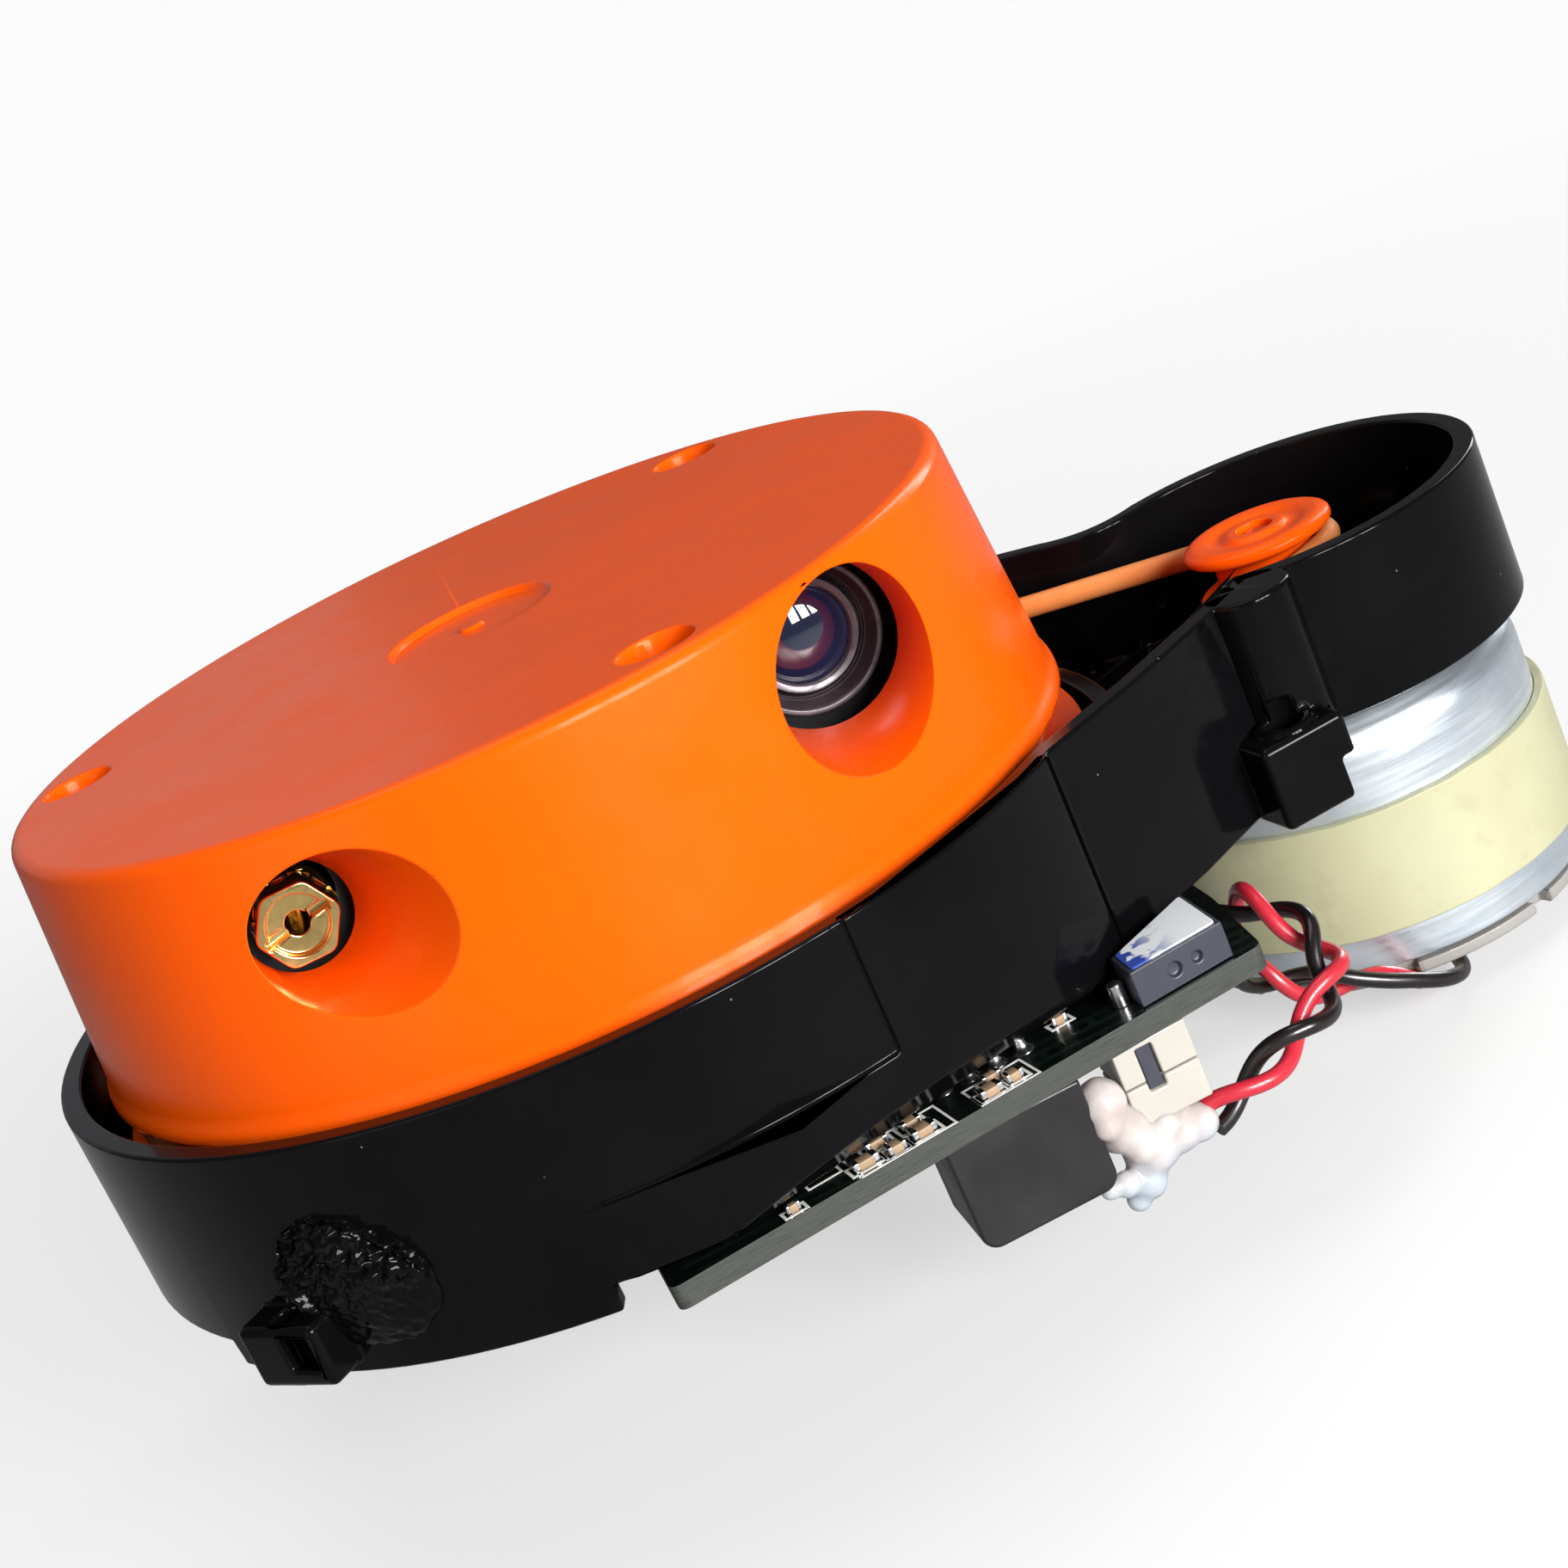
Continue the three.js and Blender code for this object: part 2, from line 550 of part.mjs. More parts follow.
// ---- control board, under the front of the tray ----
const BOARD_CORNERS = [[-7.8, -37.4], [33.2, -32.3], [34, -22.8], [34, -16.6], [-8, -16.6]];
const BOARD_POSTS = [[-4, -20], [30, -19.8]];

function main_board() {
  const corners = BOARD_CORNERS.map(([x, y]) => new THREE.Vector2(x, y));
  let board = slab(corners, BOARD_TOP - BOARD_T, BOARD_TOP);
  for (const [x, y] of BOARD_POSTS) {
    board = board.subtract(rod(1.2, -2, 3, x, y, 12));
  }
  return board;
}

function board_screw([x, y]) {
  const low = BOARD_TOP - BOARD_T - GAP;
  const slot = block(x - 1.1, x + 1.1, y - 0.25, y + 0.25, low - 2, low - 0.9);
  return joined(rod(2, low - 1.3, low, x, y, 18), rod(0.6, low - 0.2, TRAY_Z - 0.4, x, y, 10)).subtract(slot);
}

const LEG_PITCH = 1.27;

// A chip under the board: a flat body with a row of legs down each side.
function chip(x, y, wide, deep, legs) {
  const top = BOARD_TOP - BOARD_T - GAP;
  let body = block(x - wide / 2, x + wide / 2, y - deep / 2, y + deep / 2, top - 1.4, top - 0.1);
  for (let i = 0; i < legs; i += 1) {
    const leg_x = x + (i - (legs - 1) / 2) * LEG_PITCH;
    const half = deep / 2 + 0.9;
    body = body.add(block(leg_x - 0.2, leg_x + 0.2, y - half, y + half, top - 0.3, top));
  }
  return body;
}

// Grey module on top of the board, in the part that sticks out in front of the tray.
function board_module() {
  const outline = [[24.8, -32.9], [31.4, -32.1], [31.4, -25.6], [27.8, -27.8], [24.8, -29.6]];
  return slab(outline.map(([x, y]) => new THREE.Vector2(x, y)), BOARD_TOP + GAP, BOARD_TOP + 2.6);
}

const SOCKET = { x0: 10.2, x1: 19.4, y0: -33.4, y1: -27.2, depth: 7.6 };
const SOCKET_PINS = 4;
const PIN_PITCH = 1.83;

// Shrouded socket that takes the robot's cable from below, with its pins inside.
function main_socket() {
  const top = BOARD_TOP - BOARD_T - GAP;
  let socket = block(SOCKET.x0, SOCKET.x1, SOCKET.y0, SOCKET.y1, top - SOCKET.depth, top);
  socket = socket.subtract(block(
    SOCKET.x0 + 1, SOCKET.x1 - 1, SOCKET.y0 + 1.3, SOCKET.y1 - 1.3, top - 9, top - 1.2));
  const middle = (SOCKET.x0 + SOCKET.x1) / 2;
  for (let i = 0; i < SOCKET_PINS; i += 1) {
    const x = middle + (i - (SOCKET_PINS - 1) / 2) * PIN_PITCH;
    socket = socket.add(block(x - 0.3, x + 0.3, -30.6, -30, top - 6, top - 1));
  }
  return socket;
}

const HEADER = { x0: 21.9, x1: 26.9, y0: -32.6, y1: -28.2 };
const HEADER_DEPTH = 2.6;
const PLUG_DEPTH = 5.4;          // from the board's underside to the bottom of the plug
const LATCH = { x0: 23.35, x1: 24.5, depth: 0.6, length: 3.4 };

// The groove down the front of the header and the plug, in which the plug's latch sits.
function latch_groove(top) {
  const front = HEADER.y0;
  return block(LATCH.x0, LATCH.x1, front - 1, front + LATCH.depth, top - LATCH.length, top - 0.4);
}

// Two-pin header under the board: a tray with pins, open at the bottom.
function motor_header() {
  const top = BOARD_TOP - BOARD_T - GAP;
  const wall = 0.8;
  const body = block(HEADER.x0, HEADER.x1, HEADER.y0, HEADER.y1, top - HEADER_DEPTH, top);
  const pocket = block(
    HEADER.x0 + wall, HEADER.x1 - wall, HEADER.y0 + wall, HEADER.y1 - wall, top - 3, top - wall);
  return body.subtract(pocket).subtract(latch_groove(top));
}

function motor_plug() {
  const top = BOARD_TOP - BOARD_T - GAP;
  const step = 0.8 + GAP;
  const body = block(
    HEADER.x0 + step, HEADER.x1 - step, HEADER.y0 + step, HEADER.y1 - step, top - 3.4, top - step);
  const grip = block(HEADER.x0, HEADER.x1, HEADER.y0, HEADER.y1, top - PLUG_DEPTH, top - HEADER_DEPTH - GAP);
  return joined(body, grip).subtract(latch_groove(top));
}

// Hot glue that locks the plug: lumps run together between the socket and the plug and below it.
const GLUE_LUMPS = [
  [20.3, -32.3, -2.7, 1.6], [20.9, -31.8, -4.9, 1.7], [22.3, -31.4, -7.2, 1.9],
  [24.2, -31.2, -7.1, 1.6], [21.2, -31.5, -9, 1.4], [20.1, -31.5, -10, 0.9],
];

function glue_blob() {
  const top = BOARD_TOP - BOARD_T - GAP;
  const lumps = GLUE_LUMPS.map(([x, y, z, size]) => (
    solid_of(new THREE.IcosahedronGeometry(size, 1).translate(x, y, z))));
  const socket = block(
    SOCKET.x0, SOCKET.x1 + GAP, SOCKET.y0 - GAP, SOCKET.y1, top - SOCKET.depth - GAP, top);
  const plug = block(
    HEADER.x0 - GAP, HEADER.x1 + GAP, HEADER.y0 - GAP, HEADER.y1, top - PLUG_DEPTH - GAP, top);
  return joined(...lumps).subtract(socket).subtract(plug);
}

// ---- motor lead ----
// Middle line of the twisted pair, from the plug round its loop to the motor's terminals.
const LEAD_ROUTE = [
  [26.5, -31, -7.7], [28.2, -31.1, -7.2], [31.2, -31.2, -6.2], [34.6, -30.6, -5.2],
  [37.4, -28.9, -4.6], [38.7, -26.4, -3.7], [38.3, -23.6, -2.1], [37, -21.2, -0.6],
  [36, -18.8, -0.6], [35.4, -16.6, -3], [35.6, -15.6, -6.2], [37.6, -15.8, -9],
  [41.6, -16.3, -10.8], [45.2, -16.5, -12], [48.2, -15.7, -14.2], [49.8, -14, -15.3],
  [50.1, -12, -15.3],
].map((point) => new THREE.Vector3(...point));
const FAN_START = 0.84;          // share of the route after which the wires part
const FAN_WIDTH = 3.2;           // between the two wires where they reach the terminals
const SLOWING = 0.1;             // share of the route over which the twist dies out before that

// Twist still to come at t, as a share of the route.
function twist_left(t) {
  const left = Math.max(0, FAN_START - t);
  return left < SLOWING ? left * left / (2 * SLOWING) : left - SLOWING / 2;
}

class LeadWire extends THREE.Curve {
  constructor(middle, phase) {
    super();
    this.middle = middle;
    this.phase = phase;
    this.turns = middle.getLength() / LEAD_TURN;
  }

  getPoint(t, target = new THREE.Vector3()) {
    const along = this.middle.getTangentAt(t);
    const side = new THREE.Vector3(0, 0, 1).cross(along).normalize();
    const up = along.clone().cross(side);
    const angle = this.phase - 2 * Math.PI * this.turns * twist_left(t);
    const share = THREE.MathUtils.smoothstep(t, FAN_START - SLOWING, 1);
    const radius = THREE.MathUtils.lerp(LEAD_TWIST_R, FAN_WIDTH / 2, share);
    return target.copy(this.middle.getPointAt(t))
      .addScaledVector(side, radius * Math.cos(angle))
      .addScaledVector(up, radius * Math.sin(angle));
  }
}

function lead_wire(phase) {
  const section = new THREE.Shape(arc_points(0, 0, LEAD_R, 0, 360, 8).slice(0, 8));
  const path = new LeadWire(new THREE.CatmullRomCurve3(LEAD_ROUTE), phase);
  return solid_of(new THREE.ExtrudeGeometry(section, { steps: 44, bevelEnabled: false, extrudePath: path }));
}

// ---- assembly ----
place('base', 'base_shell', base_shell(), BLACK_GLOSS);
place('base', 'hub_cover', hub_cover(), BLACK_MATT);
place('base', 'index_sensor', index_sensor(), BLACK_MATT);
place('base', 'brush_block', brush_block(), BRASS);
place('base', 'bearing_outer_ring', bearing_ring(10.6, BEARING_OUT, 11.25, -1), STEEL);
place('base', 'bearing_ball_cage', ball_cage(), STEEL);
place('base', 'drive_belt', drive_belt(), SALMON);

place('turret', 'bearing_inner_ring', bearing_ring(BEARING_IN, 9.1, 8.5, 1), STEEL);
place('turret', 'turret_cover', turret_cover(), ORANGE);
place('turret', 'rotor_base', rotor_base(), ORANGE);
place('turret', 'index_ring', index_ring(), BLACK_MATT);
place('turret', 'slip_ring', slip_ring(), BRASS);
place('turret', 'lens_barrel', lens_barrel(), BLACK_GLOSS);
place('turret', 'lens_glass', lens_glass(), DARK_GLASS);
place('turret', 'lens_holder',
  barrel_holder(LENS.x, LENS.z, 6, -13.2, -8.6, LENS_TUBE_R + GAP, 31.4), BLACK_MATT);
place('turret', 'sensor_board', block(9, 25, -7.4, -5.8, COVER_Z + 1, 31), BOARD_GREEN);
place('turret', 'laser_barrel', laser_barrel(), BRASS);
place('turret', 'laser_diode', laser_diode(), BRASS);
place('turret', 'laser_holder', barrel_holder(LASER.x, LASER.z, 4, -18, -9, 2.45 + GAP, 31), BLACK_MATT);
place('turret', 'rotor_board', rod(16, COVER_Z + 1.2, COVER_Z + 2.8, 0, 11, 40)
  .subtract(block(-30, 30, -30, -1, 0, 40)), BOARD_GREEN);
SCREW_SPOTS.forEach((spot, i) => place('turret', `cover_screw_${i + 1}`, cover_screw(spot), STEEL));

place('drive', 'motor_pulley', motor_pulley(), ORANGE);
place('drive', 'motor_armature', motor_armature(), COPPER);
place('drive', 'motor_can', motor_can(), ZINC);
place('drive', 'motor_wrap', tube(MOTOR_R + GAP, MOTOR_R + 0.8, WRAP_LOW, WRAP_TOP, 36), CREAM);
place('drive', 'motor_end_cap', motor_end_cap(), OFF_WHITE);
place('drive', 'motor_screw_1', motor_screw(-1), STEEL);
place('drive', 'motor_screw_2', motor_screw(1), STEEL);
place('drive', 'motor_magnet_left', motor_magnet(-1), MAGNET);
place('drive', 'motor_magnet_right', motor_magnet(1), MAGNET);
TERMINALS.forEach((spot, i) => place('drive', `motor_terminal_${i + 1}`, motor_terminal(spot), BRASS));

place('board', 'main_board', main_board(), BOARD_GREEN);
BOARD_POSTS.forEach((spot, i) => place('board', `board_screw_${i + 1}`, board_screw(spot), STEEL));
place('board', 'board_module', board_module(), GREY);
place('board', 'processor_chip', chip(1, -26, 7, 6, 5), BLACK_MATT);
place('board', 'driver_chip', chip(24.5, -22, 5, 4, 4), BLACK_MATT);
place('board', 'main_socket', main_socket(), BLACK_MATT);
place('board', 'motor_header', motor_header(), IVORY);
place('board', 'motor_plug', motor_plug(), IVORY);
place('board', 'glue_blob', glue_blob(), GLUE);

place('lead', 'lead_red', lead_wire(0), RED);
place('lead', 'lead_black', lead_wire(Math.PI), BLACK_MATT);

const assembly = new THREE.Group();
assembly.add(...Object.values(groups));

export default assembly;
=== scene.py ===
import json
import math
import random

import bmesh
import bpy
from mathutils import Matrix, Vector, noise


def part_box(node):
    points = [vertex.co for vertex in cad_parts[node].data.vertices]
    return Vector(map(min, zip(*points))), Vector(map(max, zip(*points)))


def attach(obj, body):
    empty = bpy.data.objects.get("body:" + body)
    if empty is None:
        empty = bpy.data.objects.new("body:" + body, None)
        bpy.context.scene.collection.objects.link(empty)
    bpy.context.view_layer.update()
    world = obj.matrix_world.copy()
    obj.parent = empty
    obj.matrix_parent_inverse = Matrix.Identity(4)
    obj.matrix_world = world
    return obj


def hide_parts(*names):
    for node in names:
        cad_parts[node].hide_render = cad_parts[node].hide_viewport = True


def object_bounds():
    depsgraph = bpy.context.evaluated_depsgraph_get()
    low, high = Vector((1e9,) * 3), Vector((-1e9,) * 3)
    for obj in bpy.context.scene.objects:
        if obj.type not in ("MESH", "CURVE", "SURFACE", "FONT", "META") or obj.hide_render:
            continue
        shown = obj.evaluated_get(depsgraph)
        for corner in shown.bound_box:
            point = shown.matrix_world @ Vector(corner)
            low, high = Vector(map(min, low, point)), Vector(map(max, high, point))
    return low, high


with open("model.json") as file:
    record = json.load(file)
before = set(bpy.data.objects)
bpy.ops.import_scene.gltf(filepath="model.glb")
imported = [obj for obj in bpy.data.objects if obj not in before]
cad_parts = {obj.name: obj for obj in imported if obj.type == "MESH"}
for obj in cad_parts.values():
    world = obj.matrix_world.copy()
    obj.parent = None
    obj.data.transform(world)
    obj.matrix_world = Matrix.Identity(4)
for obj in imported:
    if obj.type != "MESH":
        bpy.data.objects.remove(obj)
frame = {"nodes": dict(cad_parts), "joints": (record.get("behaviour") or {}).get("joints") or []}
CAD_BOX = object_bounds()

# The looks of a belt-driven scanning rangefinder, built round its CAD model.
MM = 0.001
random.seed(11)


def span(node):
    """Lowest and highest corner of a CAD node, in millimetres."""
    low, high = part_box(node)
    return low / MM, high / MM


# ---- measures taken from the frame ----
SHELL_HIGH = span("base_shell")[1]
COVER_LOW, COVER_HIGH = span("turret_cover")
PLATE_HIGH = span("rotor_base")[1]
CAN_LOW, CAN_HIGH = span("motor_can")
WRAP_LOW, WRAP_HIGH = span("motor_wrap")
CAP_LOW, CAP_HIGH = span("motor_end_cap")
PULLEY_LOW, PULLEY_HIGH = span("motor_pulley")
BELT_LOW, BELT_HIGH = span("drive_belt")
BOARD_LOW, BOARD_HIGH = span("main_board")
MOTOR_X = next(j for j in frame["joints"] if j["name"] == "motor_spin")["pos_m"][0] / MM

RIM_Z = SHELL_HIGH.z
RING_R = 38
WALL = 1.5
TRAY_Z = 3.2
FLOOR_Z = TRAY_Z + 1.6
LOOP_X = 53.7    # middle of the round wall above the motor
LOOP_R = 15.6
LOOP_Z = RIM_Z - 11.5
LOOP_FLOOR_Z = LOOP_Z + 1.5
STEP_X = 46

TURRET_TOP = COVER_HIGH.z
COVER_Z = COVER_LOW.z
SKIRT_R = COVER_HIGH.x
TURRET_R = SKIRT_R - 1.8
COVER_T = 2
SCREW_RING = 29.3
SCREW_ANGLES = (-75, 45, 165)

BELT_Z = (BELT_LOW.z + BELT_HIGH.z) / 2
BELT_D = BELT_HIGH.z - BELT_LOW.z
TURRET_BELT_R = BELT_HIGH.y - BELT_D / 2
PULLEY_BELT_R = BELT_HIGH.x - MOTOR_X - BELT_D / 2

MOTOR_R = CAN_HIGH.x - MOTOR_X
MOTOR_SCREW_Y = 8.5    # either side of the motor's axis
BOARD_TOP = BOARD_HIGH.z
BOARD_UNDER = BOARD_LOW.z

# ---- camera ----
CAMERA_SPOT = (-9.03, -180.5, 70.92)
CAMERA_HEADING = 7.54    # degrees from +Y towards +X
CAMERA_PITCH = -17.35
CAMERA_ROLL = -23.98
CAMERA_LENS = 63.23


def aimed(spot, heading, pitch, roll):
    """World matrix of a camera at spot, in millimetres, turned by three angles in degrees."""
    heading, pitch, roll = (math.radians(a) for a in (heading, pitch, roll))
    forward = Vector((
        math.sin(heading) * math.cos(pitch), math.cos(heading) * math.cos(pitch), math.sin(pitch)))
    level = forward.cross(Vector((0, 0, 1))).normalized()
    above = level.cross(forward)
    right = level * math.cos(roll) + above * math.sin(roll)
    up = right.cross(forward)
    matrix = Matrix((right, up, -forward)).transposed().to_4x4()
    matrix.translation = Vector(spot) * MM
    return matrix


def add_camera():
    data = bpy.data.cameras.new("camera")
    data.lens = CAMERA_LENS
    data.sensor_width = 36
    data.clip_start = 0.005
    data.clip_end = 20
    camera = bpy.data.objects.new("camera", data)
    bpy.context.scene.collection.objects.link(camera)
    camera.matrix_world = aimed(CAMERA_SPOT, CAMERA_HEADING, CAMERA_PITCH, CAMERA_ROLL)
    bpy.context.scene.camera = camera


# ---- material helpers ----
def scaled(colour, factor):
    return (*(min(1, part * factor) for part in colour[:3]), 1)


class Look:
    """A material with its shader, and short calls for the fields that drive it."""

    def __init__(self, name, metallic=0, coat=0, coat_roughness=0.1):
        self.material = bpy.data.materials.new(name)
        self.material.use_nodes = True
        self.nodes = self.material.node_tree.nodes
        self.links = self.material.node_tree.links
        self.surface = self.nodes["Principled BSDF"]
        self.place = self.nodes.new("ShaderNodeTexCoord").outputs["Object"]
        self.set("Metallic", metallic)
        self.set("Coat Weight", coat)
        self.set("Coat Roughness", coat_roughness)
        self.normal = None

    def set(self, socket, value):
        self.surface.inputs[socket].default_value = value

    def feed(self, socket, value):
        self.links.new(value, self.surface.inputs[socket])

    def cloud(self, scale, detail=4, stretch=(1, 1, 1), roughness=0.55):
        """Fractal noise, scale per metre."""
        mapping = self.nodes.new("ShaderNodeMapping")
        mapping.inputs["Scale"].default_value = stretch
        self.links.new(self.place, mapping.inputs["Vector"])
        field = self.nodes.new("ShaderNodeTexNoise")
        field.inputs["Scale"].default_value = scale
        field.inputs["Detail"].default_value = detail
        field.inputs["Roughness"].default_value = roughness
        self.links.new(mapping.outputs["Vector"], field.inputs["Vector"])
        return field.outputs["Fac"]

    def cells(self, scale):
        """Distance to the nearest point of a scatter, scale per metre."""
        field = self.nodes.new("ShaderNodeTexVoronoi")
        field.inputs["Scale"].default_value = scale
        self.links.new(self.place, field.inputs["Vector"])
        return field.outputs["Distance"]

    def height_along(self, axis):
        """The place along one axis, in metres."""
        parts = self.nodes.new("ShaderNodeSeparateXYZ")
        self.links.new(self.place, parts.inputs["Vector"])
        return parts.outputs[axis]

    def ramp(self, field, low, high, to_low=0.0, to_high=1.0):
        step = self.nodes.new("ShaderNodeMapRange")
        for socket, value in zip(("From Min", "From Max", "To Min", "To Max"), (low, high, to_low, to_high)):
            step.inputs[socket].default_value = value
        self.links.new(field, step.inputs["Value"])
        return step.outputs["Result"]

    def mix(self, field, first, second):
        """Colour from first to second as field goes from 0 to 1."""
        blend = self.nodes.new("ShaderNodeMix")
        blend.data_type = "RGBA"
        self.links.new(field, blend.inputs[0])
        for socket, colour in ((blend.inputs[6], first), (blend.inputs[7], second)):
            if isinstance(colour, tuple):
                socket.default_value = colour
            else:
                self.links.new(colour, socket)
        return blend.outputs[2]

    def times(self, first, second):
        product = self.nodes.new("ShaderNodeMath")
        product.operation = "MULTIPLY"
        self.links.new(first, product.inputs[0])
        self.links.new(second, product.inputs[1])
        return product.outputs[0]

    def paint(self, field, first, second):
        """Base colour from first to second as field goes from 0 to 1."""
        self.feed("Base Color", self.mix(field, first, second))

    def gloss(self, field, low, high):
        """Roughness from low to high over the middle of the field."""
        self.feed("Roughness", self.ramp(field, 0.3, 0.7, low, high))

    def glow(self, weight, radius, depth):
        """Light that sinks in and comes out again, to a depth in millimetres."""
        self.set("Subsurface Weight", weight)
        self.set("Subsurface Radius", radius)
        self.set("Subsurface Scale", depth * MM)

    def worn_edges(self, low=0.52, high=0.6):
        """1 on sharp outer edges and 0 elsewhere."""
        shape = self.nodes.new("ShaderNodeNewGeometry")
        return self.ramp(shape.outputs["Pointiness"], low, high)

    def relief(self, field, strength, depth):
        """Adds a bump of the field, with depth in millimetres."""
        bump = self.nodes.new("ShaderNodeBump")
        bump.inputs["Strength"].default_value = strength
        bump.inputs["Distance"].default_value = depth * MM
        self.links.new(field, bump.inputs["Height"])
        if self.normal is not None:
            self.links.new(self.normal, bump.inputs["Normal"])
        self.normal = bump.outputs["Normal"]
        self.feed("Normal", self.normal)


def moulded(name, colour, roughness, coat=0.0, mottle=0.1, grain=0.25, wave=0.0, wear=0.15):
    """Moulded plastic: cloudy colour, uneven gloss, fine grain, and slightly paler edges."""
    look = Look(name, coat=coat, coat_roughness=0.06)
    cloudy = look.ramp(look.cloud(70, 5), 0.35, 0.65)
    body = look.mix(cloudy, scaled(colour, 1 - mottle), scaled(colour, 1 + mottle))
    worn = look.times(look.worn_edges(), look.ramp(look.cloud(900, 3), 0.4, 0.7, 0, wear))
    look.paint(worn, body, scaled(colour, 2.2))
    look.gloss(look.cloud(160, 6), roughness * 0.75, roughness * 1.3)
    look.relief(look.cloud(2600, 3), grain, 0.01)
    if wave:
        look.relief(look.cloud(75, 2), wave, 0.35)
    return look


def orange_plastic():
    look = moulded("orange_plastic", (0.88, 0.092, 0.001, 1), 0.26, coat=0.04, mottle=0.02,
                   grain=0.05, wear=0.0)
    look.set("Specular IOR Level", 0.2)
    look.set("Specular Tint", (1, 0.5, 0.3, 1))
    look.glow(0.05, (1, 0.25, 0.05), 1)
    return look.material


def black_gloss():
    look = moulded("black_gloss", (0.0026, 0.0023, 0.0027, 1), 0.12, coat=0.03, mottle=0.3, grain=0.1,
                   wave=0.12, wear=0.6)
    look.set("Specular IOR Level", 0.10)
    speck = look.ramp(look.cells(420), 0.035, 0.02)
    base = look.surface.inputs["Base Color"].links[0].from_socket
    look.paint(speck, base, (0.12, 0.11, 0.10, 1))
    return look.material


def black_matt(name="black_matt", roughness=0.5):
    return moulded(name, (0.008, 0.007, 0.008, 1), roughness, mottle=0.3, grain=0.5, wear=0.5).material


def barrel_black():
    """Dyed black metal with a plum cast and fine turning lines."""
    look = Look("barrel_black", metallic=0.5, coat=0.3)
    lines = look.cloud(1500, 4, (1, 3, 1))
    cloudy = look.ramp(look.cloud(300, 4), 0.35, 0.65)
    look.paint(cloudy, (0.045, 0.036, 0.042, 1), (0.085, 0.065, 0.076, 1))
    look.gloss(lines, 0.25, 0.42)
    look.relief(lines, 0.3, 0.01)
    return look.material


def belt_rubber():
    look = Look("belt_rubber")
    cloudy = look.ramp(look.cloud(120, 5), 0.35, 0.65)
    look.paint(cloudy, (0.70, 0.22, 0.05, 1), (0.82, 0.31, 0.09, 1))
    look.gloss(look.cloud(600, 4), 0.42, 0.65)
    look.glow(0.15, (1, 0.4, 0.15), 0.8)
    look.relief(look.cloud(3500, 3), 0.5, 0.02)
    return look.material


def metal(name, colour, roughness, stretch=(1, 1, 1), mottle=0.2, relief=0.2):
    """Bare metal with machining lines, which run along the axes where stretch is small."""
    look = Look(name, metallic=1)
    cloudy = look.ramp(look.cloud(130, 5), 0.3, 0.7)
    look.paint(cloudy, scaled(colour, 1 - mottle), scaled(colour, 1 + mottle / 2))
    lines = look.cloud(1400, 4, stretch)
    look.gloss(lines, roughness * 0.7, roughness * 1.4)
    look.relief(lines, relief, 0.01)
    return look.material


def zinc_can():
    look = Look("zinc_can", metallic=0.85)
    cloudy = look.ramp(look.cloud(95, 6, (1, 1, 1.6)), 0.3, 0.7)
    look.paint(cloudy, (0.50, 0.56, 0.62, 1), (0.80, 0.85, 0.89, 1))
    lines = look.cloud(700, 5, (0.15, 0.15, 3))
    look.gloss(lines, 0.24, 0.46)
    look.relief(lines, 0.15, 0.02)
    look.relief(look.cloud(2200, 2), 0.15, 0.01)
    return look.material


def cream_wrap():
    look = Look("cream_wrap")
    cloudy = look.ramp(look.cloud(85, 6), 0.3, 0.7)
    paper = look.mix(cloudy, (0.36, 0.35, 0.21, 1), (0.42, 0.41, 0.26, 1))
    grime = look.ramp(look.cloud(420, 6), 0.58, 0.78, 0, 0.35)
    look.paint(grime, paper, (0.28, 0.24, 0.14, 1))
    look.gloss(look.cloud(300, 4), 0.38, 0.6)
    look.relief(look.cloud(1700, 4, (1, 1, 0.35)), 0.3, 0.03)
    return look.material


def pale_plastic(name, colour, roughness, clear):
    """Light plastic that light sinks into a little."""
    look = moulded(name, colour, roughness, coat=0.15, mottle=0.05, grain=0.3, wear=0.0)
    look.glow(clear, (1, 0.8, 0.6), 1.5)
    return look.material


def glue_clear():
    look = Look("glue_clear", coat=0.4, coat_roughness=0.12)
    cloudy = look.ramp(look.cloud(260, 4), 0.35, 0.65)
    white = look.mix(cloudy, (0.42, 0.36, 0.34, 1), (0.54, 0.49, 0.47, 1))
    tip = look.ramp(look.height_along("Z"), -6.8 * MM, -8.8 * MM)
    look.paint(tip, white, (0.38, 0.42, 0.47, 1))
    look.gloss(look.cloud(500, 3), 0.22, 0.42)
    look.glow(0.7, (1, 0.8, 0.75), 3)
    look.relief(look.cloud(700, 3), 0.25, 0.05)
    return look.material


def solder_mask():
    """Dark green board lacquer with faint copper tracks under it."""
    look = Look("solder_mask", coat=0.4, coat_roughness=0.12)
    tracks = look.nodes.new("ShaderNodeTexBrick")
    tracks.inputs["Scale"].default_value = 260
    tracks.inputs["Mortar Size"].default_value = 0.06
    tracks.inputs["Brick Width"].default_value = 1.9
    tracks.inputs["Row Height"].default_value = 0.33
    look.links.new(look.place, tracks.inputs["Vector"])
    clear = look.ramp(look.cloud(120, 3), 0.45, 0.55)
    shown = look.times(tracks.outputs["Fac"], clear)
    look.paint(shown, (0.002, 0.004, 0.003, 1), (0.006, 0.012, 0.008, 1))
    look.gloss(look.cloud(400, 4), 0.2, 0.36)
    look.relief(shown, 0.3, 0.03)
    look.relief(look.cloud(2200, 3), 0.2, 0.01)
    return look.material


def board_edge():
    """Sawn glass-fibre edge of a board."""
    look = Look("board_edge")
    layers = look.cloud(2400, 3, (0.3, 0.3, 3))
    shade = look.ramp(layers, 0.3, 0.7)
    look.paint(shade, (0.020, 0.022, 0.018, 1), (0.045, 0.05, 0.04, 1))
    look.gloss(layers, 0.5, 0.8)
    look.relief(layers, 0.5, 0.04)
    return look.material


